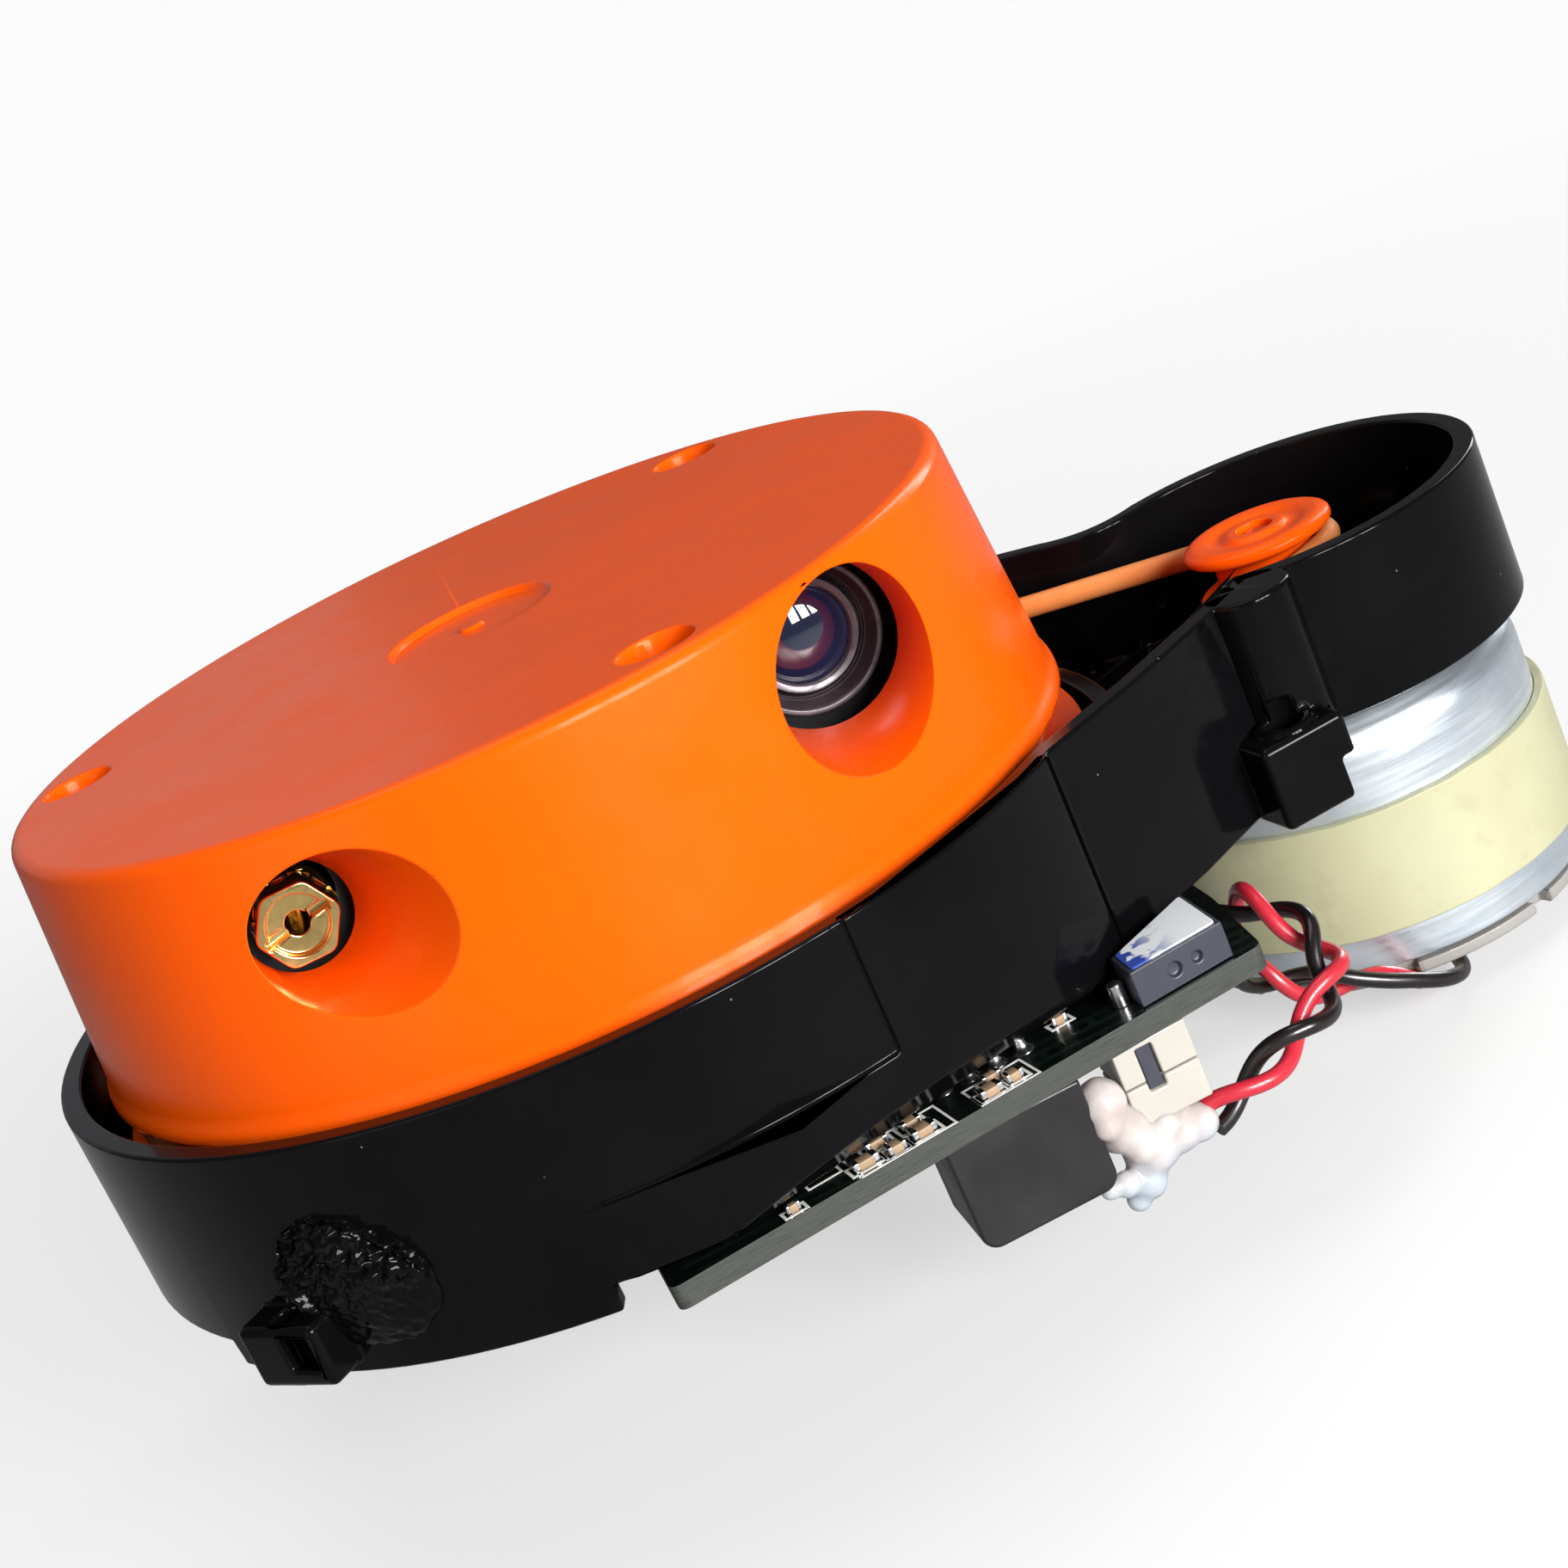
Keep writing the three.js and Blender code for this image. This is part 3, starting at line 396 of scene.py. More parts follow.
def label_paper():
    """White sticker with smudged blue ink on one side."""
    look = Look("label_paper", coat=0.1)
    ink_side = look.ramp(look.height_along("X"), 28.6 * MM, 26.2 * MM)
    ink = look.times(look.ramp(look.cloud(780, 2), 0.5, 0.56), ink_side)
    look.paint(ink, (0.82, 0.84, 0.86, 1), (0.03, 0.07, 0.36, 1))
    look.gloss(look.cloud(900, 3), 0.35, 0.55)
    look.relief(look.cloud(1800, 3), 0.3, 0.02)
    return look.material


def lens_shade_and_coating():
    """Front lens: nearly black, with a blue and violet cast that changes from the middle outwards. The near
    black is painted shade of the dark inside behind the glass, and the cast, strongest where the lens is seen
    at a slant, is a painted reflection.
    """
    look = Look("lens_shade_and_coating", coat=1.0, coat_roughness=0.01)
    rim = look.nodes.new("ShaderNodeLayerWeight")
    rim.inputs["Blend"].default_value = 0.35
    # painted shade in the middle and a painted violet reflection towards the rim, by the angle the lens is
    # seen at
    painted_shade_to_reflection = look.mix(look.ramp(rim.outputs["Facing"], 0, 1), (0.004, 0.007, 0.022, 1), (0.05, 0.03, 0.045, 1))
    cloudy = look.ramp(look.cloud(180, 2), 0.4, 0.6, 0, 0.5)
    look.paint(cloudy, painted_shade_to_reflection, (0.006, 0.012, 0.045, 1))
    look.gloss(look.cloud(300, 2), 0.02, 0.05)
    look.set("IOR", 1.7)
    return look.material


def wire_cover(name, colour):
    return moulded(name, colour, 0.3, coat=0.3, mottle=0.12, grain=0.3, wear=0.0).material


def looks():
    """Every material by a short name."""
    brass = (0.86, 0.60, 0.22, 1)
    steel = (0.60, 0.61, 0.63, 1)
    return {
        "orange": orange_plastic(),
        "black": black_gloss(),
        "matt": black_matt(),
        "socket": black_matt("socket_plastic", 0.38),
        "barrel": barrel_black(),
        "belt": belt_rubber(),
        "brass": metal("brass", brass, 0.16, (1, 1, 1), 0.12, 0.1),
        "steel": metal("steel", steel, 0.26),
        "solder": metal("solder", (0.70, 0.70, 0.70, 1), 0.22, mottle=0.1),
        "gold": metal("gold_pad", (0.83, 0.62, 0.28, 1), 0.25),
        "copper": metal("copper_winding", (0.58, 0.22, 0.10, 1), 0.34, (1, 1, 8)),
        "zinc": zinc_can(),
        "wrap": cream_wrap(),
        "cap": pale_plastic("cap_nylon", (0.28, 0.265, 0.25, 1), 0.42, 0.25),
        "ivory": pale_plastic("ivory_nylon", (0.42, 0.395, 0.35, 1), 0.36, 0.2),
        "white_ink": pale_plastic("white_ink", (0.80, 0.80, 0.76, 1), 0.5, 0.0),
        "board": solder_mask(),
        "board_edge": board_edge(),
        "grey": moulded("module_grey", (0.035, 0.036, 0.05, 1), 0.36, coat=0.05, grain=0.4).material,
        "ceramic": moulded("chip_ceramic", (0.30, 0.20, 0.12, 1), 0.4, grain=0.5).material,
        "label": label_paper(),
        "magnet": moulded("magnet_ferrite", (0.045, 0.042, 0.042, 1), 0.6, grain=0.8, mottle=0.3).material,
        "glue": glue_clear(),
        "glass": lens_shade_and_coating(),
        "red": wire_cover("red_wire_cover", (0.45, 0.017, 0.032, 1)),
        "dark": wire_cover("black_wire_cover", (0.007, 0.004, 0.004, 1)),
    }


# ---- solids, in millimetres ----
def held(bm):
    """A bmesh as a nameless object that booleans and modifiers can use."""
    bmesh.ops.recalc_face_normals(bm, faces=bm.faces)
    mesh = bpy.data.meshes.new("shape")
    bm.to_mesh(mesh)
    bm.free()
    piece = bpy.data.objects.new("shape", mesh)
    bpy.context.scene.collection.objects.link(piece)
    return piece


def arc(cx, cy, radius, start, end, steps):
    """Points on an arc, angles in degrees."""
    angles = [math.radians(start + (end - start) * i / steps) for i in range(steps + 1)]
    return [(cx + radius * math.cos(a), cy + radius * math.sin(a)) for a in angles]


def soften(points, radius, steps=4):
    """The closed outline with rounded corners. A corner on the axis stays sharp."""
    smooth = []
    for i, point in enumerate(points):
        corner = Vector(point[:2])
        to_before = Vector(points[i - 1][:2]) - corner
        to_after = Vector(points[(i + 1) % len(points)][:2]) - corner
        size = point[2] if len(point) > 2 else radius
        reach = min(size, 0.45 * to_before.length, 0.45 * to_after.length)
        if corner.x == 0 or reach < 0.01:
            smooth.append(corner)
            continue
        start = corner + to_before.normalized() * reach
        end = corner + to_after.normalized() * reach
        for k in range(steps + 1):
            t = k / steps
            smooth.append(start * (1 - t) ** 2 + corner * 2 * t * (1 - t) + end * t * t)
    return smooth


def lathe(profile, sides=160, x=0, y=0):
    """A solid of revolution about the vertical line through x, y. The profile is closed."""
    bm = bmesh.new()
    rings = []
    for radius, z, *_ in profile:
        if radius < 0.001:
            rings.append([bm.verts.new((x, y, z))])
            continue
        angles = [2 * math.pi * k / sides for k in range(sides)]
        rings.append([bm.verts.new((x + radius * math.cos(a), y + radius * math.sin(a), z)) for a in angles])
    for i, ring in enumerate(rings):
        after = rings[(i + 1) % len(rings)]
        if len(ring) == 1 and len(after) == 1:
            continue
        for k in range(sides):
            corners = (ring[k % len(ring)], ring[(k + 1) % len(ring)],
                       after[(k + 1) % len(after)], after[k % len(after)])
            bm.faces.new(dict.fromkeys(corners))
    return held(bm)


def lathe_y(profile, x, z, sides=96):
    """A solid of revolution about the line along Y through x, z. The profile is (radius, y)."""
    piece = lathe([(point[0], -point[1]) for point in profile], sides)
    piece.data.transform(Matrix.Translation((x, 0, z)) @ Matrix.Rotation(math.pi / 2, 4, "X"))
    return piece


def rod(radius, z0, z1, x=0, y=0, sides=48):
    return lathe([(0, z0), (radius, z0), (radius, z1), (0, z1)], sides, x, y)


def rod_y(radius, y0, y1, x, z, sides=48):
    return lathe_y([(0, y0), (radius, y0), (radius, y1), (0, y1)], x, z, sides)


def prism(points, z0, z1):
    bm = bmesh.new()
    low = [bm.verts.new((*point, z0)) for point in points]
    high = [bm.verts.new((*point, z1)) for point in points]
    bm.faces.new(low)
    bm.faces.new(high)
    for i in range(len(points)):
        j = (i + 1) % len(points)
        bm.faces.new((low[i], low[j], high[j], high[i]))
    return held(bm)


def skin(rings, closed=False):
    """A solid through rings of points. Closed joins the last to the first; otherwise both are filled."""
    bm = bmesh.new()
    rings = [[bm.verts.new(spot) for spot in ring] for ring in rings]
    pairs = list(zip(rings, rings[1:]))
    if closed:
        pairs.append((rings[-1], rings[0]))
    for ring, after in pairs:
        for k, spot in enumerate(ring):
            j = (k + 1) % len(ring)
            bm.faces.new((spot, ring[j], after[j], after[k]))
    if not closed:
        bm.faces.new(rings[0])
        bm.faces.new(rings[-1])
    return held(bm)


def block(x0, x1, y0, y1, z0, z1):
    return prism([(x0, y0), (x1, y0), (x1, y1), (x0, y1)], z0, z1)


def placed(piece, x, y, turn):
    """The piece turned about Z, in degrees, and then moved to x, y."""
    piece.data.transform(Matrix.Translation((x, y, 0)) @ Matrix.Rotation(math.radians(turn), 4, "Z"))
    return piece


def spoke(angle, r0, r1, width, z0, z1, cx=0, cy=0):
    """A block turned about Z, from r0 to r1 along the direction angle, in degrees."""
    return placed(block(r0, r1, -width / 2, width / 2, z0, z1), cx, cy, angle)


def settle(piece):
    """Applies the object's modifiers to its mesh."""
    shown = piece.evaluated_get(bpy.context.evaluated_depsgraph_get())
    mesh = bpy.data.meshes.new_from_object(shown)
    piece.modifiers.clear()
    old = piece.data
    piece.data = mesh
    bpy.data.meshes.remove(old)
    return piece


def together(*pieces):
    """Several objects' meshes as one object, without joining their solids."""
    bm = bmesh.new()
    for piece in pieces:
        bm.from_mesh(piece.data)
        bpy.data.objects.remove(piece)
    return held(bm)


def solve(piece, tool, operation):
    cutter = piece.modifiers.new("cut", "BOOLEAN")
    cutter.operation = operation
    cutter.solver = "EXACT"
    cutter.use_self = True
    cutter.object = tool
    settle(piece)
    bpy.data.objects.remove(tool)
    return piece


def cut(piece, *tools):
    return solve(piece, together(*tools), "DIFFERENCE")


def join(piece, *tools):
    return solve(piece, together(*tools), "UNION")


def kept_inside(piece, tool):
    return solve(piece, tool, "INTERSECT")


def round_edges(piece, width, steps=3, angle=32, merged=0.004, flatten=True):
    """Rounds every edge sharper than angle, in degrees."""
    bm = bmesh.new()
    bm.from_mesh(piece.data)
    bmesh.ops.remove_doubles(bm, verts=bm.verts, dist=merged)
    bmesh.ops.dissolve_degenerate(bm, edges=bm.edges, dist=0.002)
    if flatten:
        bmesh.ops.dissolve_limit(bm, verts=bm.verts, edges=bm.edges, angle_limit=math.radians(0.3))
    bm.to_mesh(piece.data)
    bm.free()
    edge = piece.modifiers.new("round", "BEVEL")
    edge.width = width
    edge.segments = steps
    edge.limit_method = "ANGLE"
    edge.angle_limit = math.radians(angle)
    edge.use_clamp_overlap = False
    edge.miter_outer = "MITER_ARC"
    return settle(piece)


def finish(piece, name, body, look, slot, *nodes, crease=35):
    """Names a shape, scales it to metres, gives it its material and body, and hides its CAD nodes."""
    piece.name = name
    piece.data.name = name
    piece.data.transform(Matrix.Scale(MM, 4))
    piece.data.materials.clear()
    for material in look if isinstance(look, tuple) else (look,):
        piece.data.materials.append(material)
    piece.data.shade_smooth()
    piece.data.set_sharp_from_angle(angle=math.radians(crease))
    even = piece.modifiers.new("even_shading", "WEIGHTED_NORMAL")
    even.keep_sharp = True
    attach(piece, body)
    if nodes:
        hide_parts(*nodes)
    return piece


def stand_in(piece, node, body, look, slot, crease=35):
    """Finishes the detailed piece that takes the place of one CAD node."""
    return finish(piece, f"{node}_look", body, look, slot, node, crease=crease)


def cross_slot(head, reach, width, z0, z1, x, y):
    """Cuts a cross, turned at random, into a screw's head and softens the screw's edges."""
    turn = random.uniform(0, 90)
    cut(head, *(spoke(turn + quarter, -reach, reach, width, z0, z1, x, y) for quarter in (0, 90)))
    return round_edges(head, 0.06, 2)


# ---- motor lead ----
LEAD_R = 0.55
LEAD_TWIST_R = 0.8
LEAD_TURN = 10.5         # length of one turn of the twist
LEAD_ROUTE = [
    (26.5, -31, -7.7), (28.2, -31.1, -7.2), (31.2, -31.2, -6.2), (34.6, -30.6, -5.2),
    (37.4, -28.9, -4.6), (38.7, -26.4, -3.7), (38.3, -23.6, -2.1), (37, -21.2, -0.6),
    (36, -18.8, -0.6), (35.4, -16.6, -3), (35.6, -15.6, -6.2), (37.6, -15.8, -9),
    (41.6, -16.3, -10.8), (45.2, -16.5, -12), (48.2, -15.7, -14.2), (49.8, -14, -15.3),
    (50.1, -12, -15.3),
]
FAN_START = 0.84         # share of the route after which the wires part
FAN_WIDTH = 3.2          # between the two wires where they reach the terminals
SLOWING = 0.1            # share of the route over which the twist dies out before that


def twist_left(t):
    """Twist still to come at t, as a share of the route."""
    left = max(0, FAN_START - t)
    return left * left / (2 * SLOWING) if left < SLOWING else left - SLOWING / 2


def eased(low, high, value):
    """0 below low, 1 above high, and a smooth step between."""
    t = min(1, max(0, (value - low) / (high - low)))
    return t * t * (3 - 2 * t)


def smooth_line(points, steps=24):
    """A centripetal Catmull-Rom curve through the points, as a dense list."""
    points = [Vector(p) for p in points]
    points = [2 * points[0] - points[1], *points, 2 * points[-1] - points[-2]]
    line = []
    for p0, p1, p2, p3 in zip(points, points[1:], points[2:], points[3:]):
        d0, d1, d2 = (math.sqrt((b - a).length) for a, b in ((p0, p1), (p1, p2), (p2, p3)))
        m1 = ((p1 - p0) / d0 - (p2 - p0) / (d0 + d1) + (p2 - p1) / d1) * d1
        m2 = ((p2 - p1) / d1 - (p3 - p1) / (d1 + d2) + (p3 - p2) / d2) * d1
        for k in range(steps):
            t = k / steps
            line.append(p1 * (2 * t**3 - 3 * t**2 + 1) + m1 * (t**3 - 2 * t**2 + t)
                        + p2 * (3 * t**2 - 2 * t**3) + m2 * (t**3 - t**2))
    line.append(points[-2])
    return line


def evenly(line, count):
    """The line again, as count points that are the same distance apart, and its length."""
    lengths = [0]
    for a, b in zip(line, line[1:]):
        lengths.append(lengths[-1] + (b - a).length)
    spots = []
    i = 0
    for k in range(count):
        goal = lengths[-1] * k / (count - 1)
        while i < len(line) - 2 and lengths[i + 1] < goal:
            i += 1
        share = (goal - lengths[i]) / (lengths[i + 1] - lengths[i])
        spots.append(line[i].lerp(line[i + 1], min(1, share)))
    return spots, lengths[-1]


def relaxed(line, passes):
    """The line with its tight bends eased, and its ends kept."""
    for _ in range(passes):
        inner = [(a + 2 * b + c) / 4 for a, b, c in zip(line, line[1:], line[2:])]
        line = [line[0], *inner, line[-1]]
    return line


def lead_path(phase, count=200):
    """One wire of the twisted pair, in millimetres."""
    middle, length = evenly(smooth_line(LEAD_ROUTE), count)
    middle = relaxed(middle, 70)
    path = []
    for i, spot in enumerate(middle):
        t = i / (count - 1)
        along = (middle[min(i + 1, count - 1)] - middle[max(i - 1, 0)]).normalized()
        side = Vector((0, 0, 1)).cross(along).normalized()
        up = along.cross(side)
        angle = phase - 2 * math.pi * length / LEAD_TURN * twist_left(t)
        apart = eased(FAN_START - SLOWING, 1, t)
        radius = LEAD_TWIST_R + (FAN_WIDTH / 2 - LEAD_TWIST_R) * apart
        path.append(spot + side * radius * math.cos(angle) + up * radius * math.sin(angle))
    return path


def add_lead(name, node, phase, material):
    path = lead_path(phase)
    curve = bpy.data.curves.new(name, "CURVE")
    curve.dimensions = "3D"
    curve.bevel_depth = LEAD_R * MM
    curve.bevel_resolution = 6
    curve.use_fill_caps = True
    line = curve.splines.new("POLY")
    line.points.add(len(path) - 1)
    for point, spot in zip(line.points, path):
        point.co = (*(spot * MM), 1)
    line.use_smooth = True
    curve.materials.append(material)
    wire = bpy.data.objects.new(name, curve)
    bpy.context.scene.collection.objects.link(wire)
    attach(wire, "base")
    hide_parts(node)
    return wire


# ---- base tray ----
HUB_BORE_R = 12.3
MEET = 44.7         # angle at which the round wall ends
ROUND_STEPS = 110
SKIRT_STEPS = (67, 85)      # steps of the round wall between which the skirt hangs
FRONT_WALL = [(34.8, -22.1), (41.7, -17.3)]
BACK_WALL = [(39.4, 19.6), (34.8, 22.1)]
NECK = [(49.7, 15.1), (45.4, 13.0), (42.4, 16.8)]


def tray_outline():
    start, bend, end = (Vector(p) for p in NECK)
    neck = [tuple(start * (1 - t) ** 2 + bend * 2 * t * (1 - t) + end * t * t)
            for t in (k / 14 for k in range(15))]
    return [
        *arc(0, 0, RING_R, MEET, 360 - MEET, ROUND_STEPS),
        *FRONT_WALL,
        *arc(LOOP_X, 0, LOOP_R, -118, 103, 64),
        *neck,
        *BACK_WALL,
    ]


def inset(points, distance):
    """The anticlockwise outline moved inwards."""
    moved = []
    for i, point in enumerate(points):
        here = Vector(point)
        a = (here - Vector(points[i - 1])).normalized()
        b = (Vector(points[(i + 1) % len(points)]) - here).normalized()
        inward = Vector((-a.y - b.y, a.x + b.x)).normalized()
        moved.append(tuple(here + inward * distance / max(0.5, inward.x * -a.y + inward.y * a.x)))
    return moved


def motor_space(margin, z0, z1):
    return together(rod(MOTOR_R + 1.2 + margin, z0, z1, MOTOR_X, 0, 96),
                    block(STEP_X - margin, 80, -30, 30, z0, z1))


ROUND_LUG = {"cx": 0, "r0": 36.9, "out": 40.6, "width": 6.5, "z0": 2.4, "z1": 6.6}
ARM_LUG = {"cx": 41.8, "r0": 13, "out": 21.2, "width": 6.4, "z0": 2.6, "z1": 8.5}
ROUND_LUG_ANGLE = 137
ARM_LUG_ANGLE = 84


def lug(angle, cx, r0, out, width, z0, z1):
    """A mounting lug with well rounded corners."""
    return round_edges(spoke(angle, r0, out, width, z0, z1, cx), 0.55, 4)


def lug_hole(angle, cx, out, radius, inward):
    turn = math.radians(angle)
    x = cx + (out - inward) * math.cos(turn)
    y = (out - inward) * math.sin(turn)
    return rod(radius, 0, 10, x, y, 32), (x, y)


PROUD = 0.1                  # how far the panels stand out of the round wall
LEDGE = (-112, -70, 8.2)     # where it starts and ends, in degrees, and its top
PANEL = (-75, -46)
FRONT_FLAT = {"angle": -74, "reach": 35.4, "slope": 0.83}


def wall_panels():
    """The parts of the round wall at the front that stand a little proud of it."""
    out, back = RING_R + PROUD, RING_R - 0.6
    start, end, ledge_top = LEDGE
    ledge_line = []
    for k in range(45):
        angle = start + (end - start) * k / 44
        radius = RING_R - 0.06 + 0.16 * eased(start, start + 16, angle)
        ledge_line += arc(0, 0, radius, angle, angle, 1)[:1]
    ledge = prism([*ledge_line, *arc(0, 0, back, end, start, 44)], TRAY_Z, ledge_top)
    first, last = PANEL
    panel = prism([*arc(0, 0, out, first, last, 32), *arc(0, 0, back, last, first, 32)], TRAY_Z, RIM_Z)
    return join(panel, ledge)


def front_flat():
    """Cutter for the flat under the front of the round wall: it slopes up and outwards."""
    reach, out, low = FRONT_FLAT["reach"], RING_R + 2, TRAY_Z - 0.1
    wedge = prism([(reach, low), (out, low), (out, low + (out - reach) * FRONT_FLAT["slope"])], -20, 20)
    turn = Matrix.Rotation(math.radians(FRONT_FLAT["angle"]), 4, "Z")
    wedge.data.transform(turn @ Matrix.Rotation(math.pi / 2, 4, "X"))
    return wedge


def base_shell(look):
    outline = tray_outline()
    inner = inset(outline, WALL)
    shell = prism(outline, TRAY_Z, RIM_Z)
    cut(shell, motor_space(0, TRAY_Z - 1, LOOP_Z))
    deep = cut(prism(inner, FLOOR_Z, RIM_Z + 1), motor_space(WALL, 0, LOOP_FLOOR_Z))
    cut(shell, deep)
    low_wall = prism([*arc(0, 0, 37.8, -42, 42, 48), *arc(0, 0, 36.4, 42, -42, 48)], FLOOR_Z - 0.5, 11.2)
    hub = lathe([(HUB_BORE_R, 1.5), (15, 1.5), (15, 12.2), (HUB_BORE_R, 12.2)], 96)
    step = (360 - 2 * MEET) / ROUND_STEPS
    first, last = (MEET + k * step for k in SKIRT_STEPS)
    count = SKIRT_STEPS[1] - SKIRT_STEPS[0]
    skirt = prism([*arc(0, 0, RING_R, first, last, count), *arc(0, 0, RING_R - WALL, last, first, count)],
                  1.5, TRAY_Z + 1)
    join(shell, low_wall, hub, skirt)
    cut(shell, rod(HUB_BORE_R, 0, 13, 0, 0, 96))
    boss = cut(lathe(soften([(0, 7), (3.1, 7), (3.1, RIM_Z), (0, RIM_Z)], 0.35), 40, 45.6, -15.2),
               prism(inner, FLOOR_Z, RIM_Z + 1))
    join(shell, wall_panels(), boss)
    cut(shell, front_flat())

    lugs, holes = [], []
    for side in (-1, 1):
        lugs.append(lug(side * ROUND_LUG_ANGLE, **ROUND_LUG))
        hole, _ = lug_hole(side * ROUND_LUG_ANGLE, 0, ROUND_LUG["out"], 0.9, 1.4)
        holes.append(hole)
        near = lug(side * ARM_LUG_ANGLE, **ARM_LUG)
        cut(near, prism(inner, FLOOR_Z, RIM_Z + 1), motor_space(0, TRAY_Z - 1, LOOP_Z))
        lugs.append(near)
        hole, (x, y) = lug_hole(side * ARM_LUG_ANGLE, ARM_LUG["cx"], ARM_LUG["out"], 1.3, 2.4)
        holes.append(hole)
        lugs.append(lathe([(1.2, 8), (2.2, 8), (2.1, 8.6), (1.9, 8.8), (1.2, 8.8)], 40, x, y))
    lugs.append(block(46.6, 47.5, -17.8, -16.2, 5.4, 8))
    join(shell, *lugs)

    seat = [rod(4, LOOP_Z - 1, LOOP_FLOOR_Z + 1, MOTOR_X, 0, 64)]
    seat += [rod(1.3, LOOP_Z - 1, LOOP_FLOOR_Z + 1, MOTOR_X, side * MOTOR_SCREW_Y, 32)
             for side in (-1, 1)]
    notches = []
    for side in (-1, 1):
        notch = block(39.9, 42, 0.1, 2.5, 3.6, 6.0)
        notch.data.transform(Matrix.Scale(side, 4, (0, 1, 0)))
        notch.data.transform(Matrix.Rotation(math.radians(side * -ROUND_LUG_ANGLE), 4, "Z"))
        notches.append(notch)
    cut(shell, *holes, *seat, *notches)

    posts = [rod(2.4, BOARD_TOP + 0.3, TRAY_Z + 0.5, x, y, 32) for x, y in BOARD_POSTS]
    join(shell, *posts)
    cut(shell, *(rod(0.9, 0, TRAY_Z + 1, x, y, 24) for x, y in BOARD_POSTS))
    round_edges(shell, 0.24)
    return stand_in(shell, "base_shell", "base", look["black"], "black_gloss")


def lug_sealant(look):
    """Lump of black sealant on the wall beside the front left lug: rocky above, smooth below."""
    bm = bmesh.new()
    bmesh.ops.create_icosphere(bm, subdivisions=6, radius=1)
    for vert in bm.verts:
        here = vert.co.copy()
        rocky = 0.2 + 0.8 * eased(-0.5, 0.3, here.z - 0.5 * here.y)
        rough = 0.12 * noise.noise(here * 1.7) + 0.06 * rocky * noise.noise(here * 9)
        vert.co = here * (1 + rough)
        vert.co.x *= 1.5
        vert.co.y *= 5.3
        vert.co.z *= 4.5
        if here.x > 0:
            vert.co.x += rocky * (1.1 * abs(noise.noise(here * 4)) + 0.5 * noise.noise(here * 10))
    lump = held(bm)
    place = Matrix.Rotation(math.radians(-129), 4, "Z") @ Matrix.Translation((RING_R - 0.35, 0, 7.7))
    lump.data.transform(place @ Matrix.Rotation(math.radians(-12), 4, "X"))
    return finish(lump, "lug_sealant", "base", look["black"], "black_gloss", crease=60)


def hub_cover(look):
    """Round cover under the hub, with a raised rim, a shallow dish and four slots."""
    disc = lathe(soften([
        (0, 0.5), (4, 0.5), (4.4, 0.1), (11.2, 0.1), (11.6, 0.0), (14.7, 0.0), (15, 0.3), (15, 1.2),
        (12, 1.2), (12, 4.4), (11, 4.4), (11, 1.2), (0, 1.2)], 0.12), 128)
    slots = [spoke(angle, 12.2, 13.9, 3.4, -0.5, 0.45) for angle in (45, 135, 225, 315)]
    cut(disc, *slots)
    round_edges(disc, 0.1, 2)
    return stand_in(disc, "hub_cover", "base", look["matt"], "black_matt")


# ---- turret ----
LENS = {
    "x": 17.3, "z": 27.75, "mouth_x": 18.8, "mouth_z": 26.9, "mouth_r": 6.4,
    "bore_y": -20.5, "bore_end": -13.8, "bore_r": 5.3,
}
LASER = {
    "x": -17.7, "z": 27, "mouth_x": -14.2, "mouth_z": 26.8, "mouth_r": 5.8,
    "bore_y": -22, "bore_end": -18, "bore_r": 3.4,
}
MOUTH_Y = -34


def turret_profile(shrink, low):
    """Half section of the turret cover's outside, moved inwards by shrink."""
    top = TURRET_TOP - shrink
    return [(0, low), (SKIRT_R - shrink, low, 0.25), (SKIRT_R - shrink, COVER_Z + 0.6, 0.3),
            (TURRET_R + 1.4 - shrink, RIM_Z + 0.2, 0.8), (TURRET_R - shrink, top, 0.9), (0, top)]


def funnel(eye, margin, sides=128):
    """A skewed cone from the wide mouth at the front to the bore behind it, with the bore."""
    angles = [2 * math.pi * k / sides for k in range(sides)]
    rings = []
    for y, x, z, radius in (
        (MOUTH_Y - 2, eye["mouth_x"], eye["mouth_z"], eye["mouth_r"] + 0.12),
        (MOUTH_Y, eye["mouth_x"], eye["mouth_z"], eye["mouth_r"]),
        (eye["bore_y"], eye["x"], eye["z"], eye["bore_r"]),
    ):
        rings.append([(x + (radius + margin) * math.cos(a), y, z + (radius + margin) * math.sin(a))
                      for a in angles])
    return skin(rings)


def on_ring(angle, radius=SCREW_RING):
    turn = math.radians(angle)
    return radius * math.cos(turn), radius * math.sin(turn)


def smooth_wall(cover):
    """Shades the cover's side and flat top by their true shape, so no facet of them shows."""
    tilt = math.atan2(1.4, TURRET_TOP - RIM_Z - 0.2)
    mesh = cover.data
    cover.modifiers.clear()
    exact = {}
    for face in mesh.polygons:
        spot = face.center
        out = Vector((spot.x, spot.y, 0)).normalized() * math.cos(tilt) + Vector((0, 0, math.sin(tilt)))
        if face.normal.z > 0.9998:
            exact.update({corner: Vector((0, 0, 1)) for corner in face.vertices})
        elif face.normal.dot(out) > 0.999:
            for corner in face.vertices:
                here = mesh.vertices[corner].co
                out = Vector((here.x, here.y, 0)).normalized() * math.cos(tilt)
                exact[corner] = out + Vector((0, 0, math.sin(tilt)))
    normals = [corner.vector.copy() for corner in mesh.corner_normals]
    for i, loop in enumerate(mesh.loops):
        true = exact.get(loop.vertex_index)
        if true is not None and normals[i].dot(true) > 0.85:
            normals[i] = true
    mesh.normals_split_custom_set([tuple(normal) for normal in normals])
    return cover


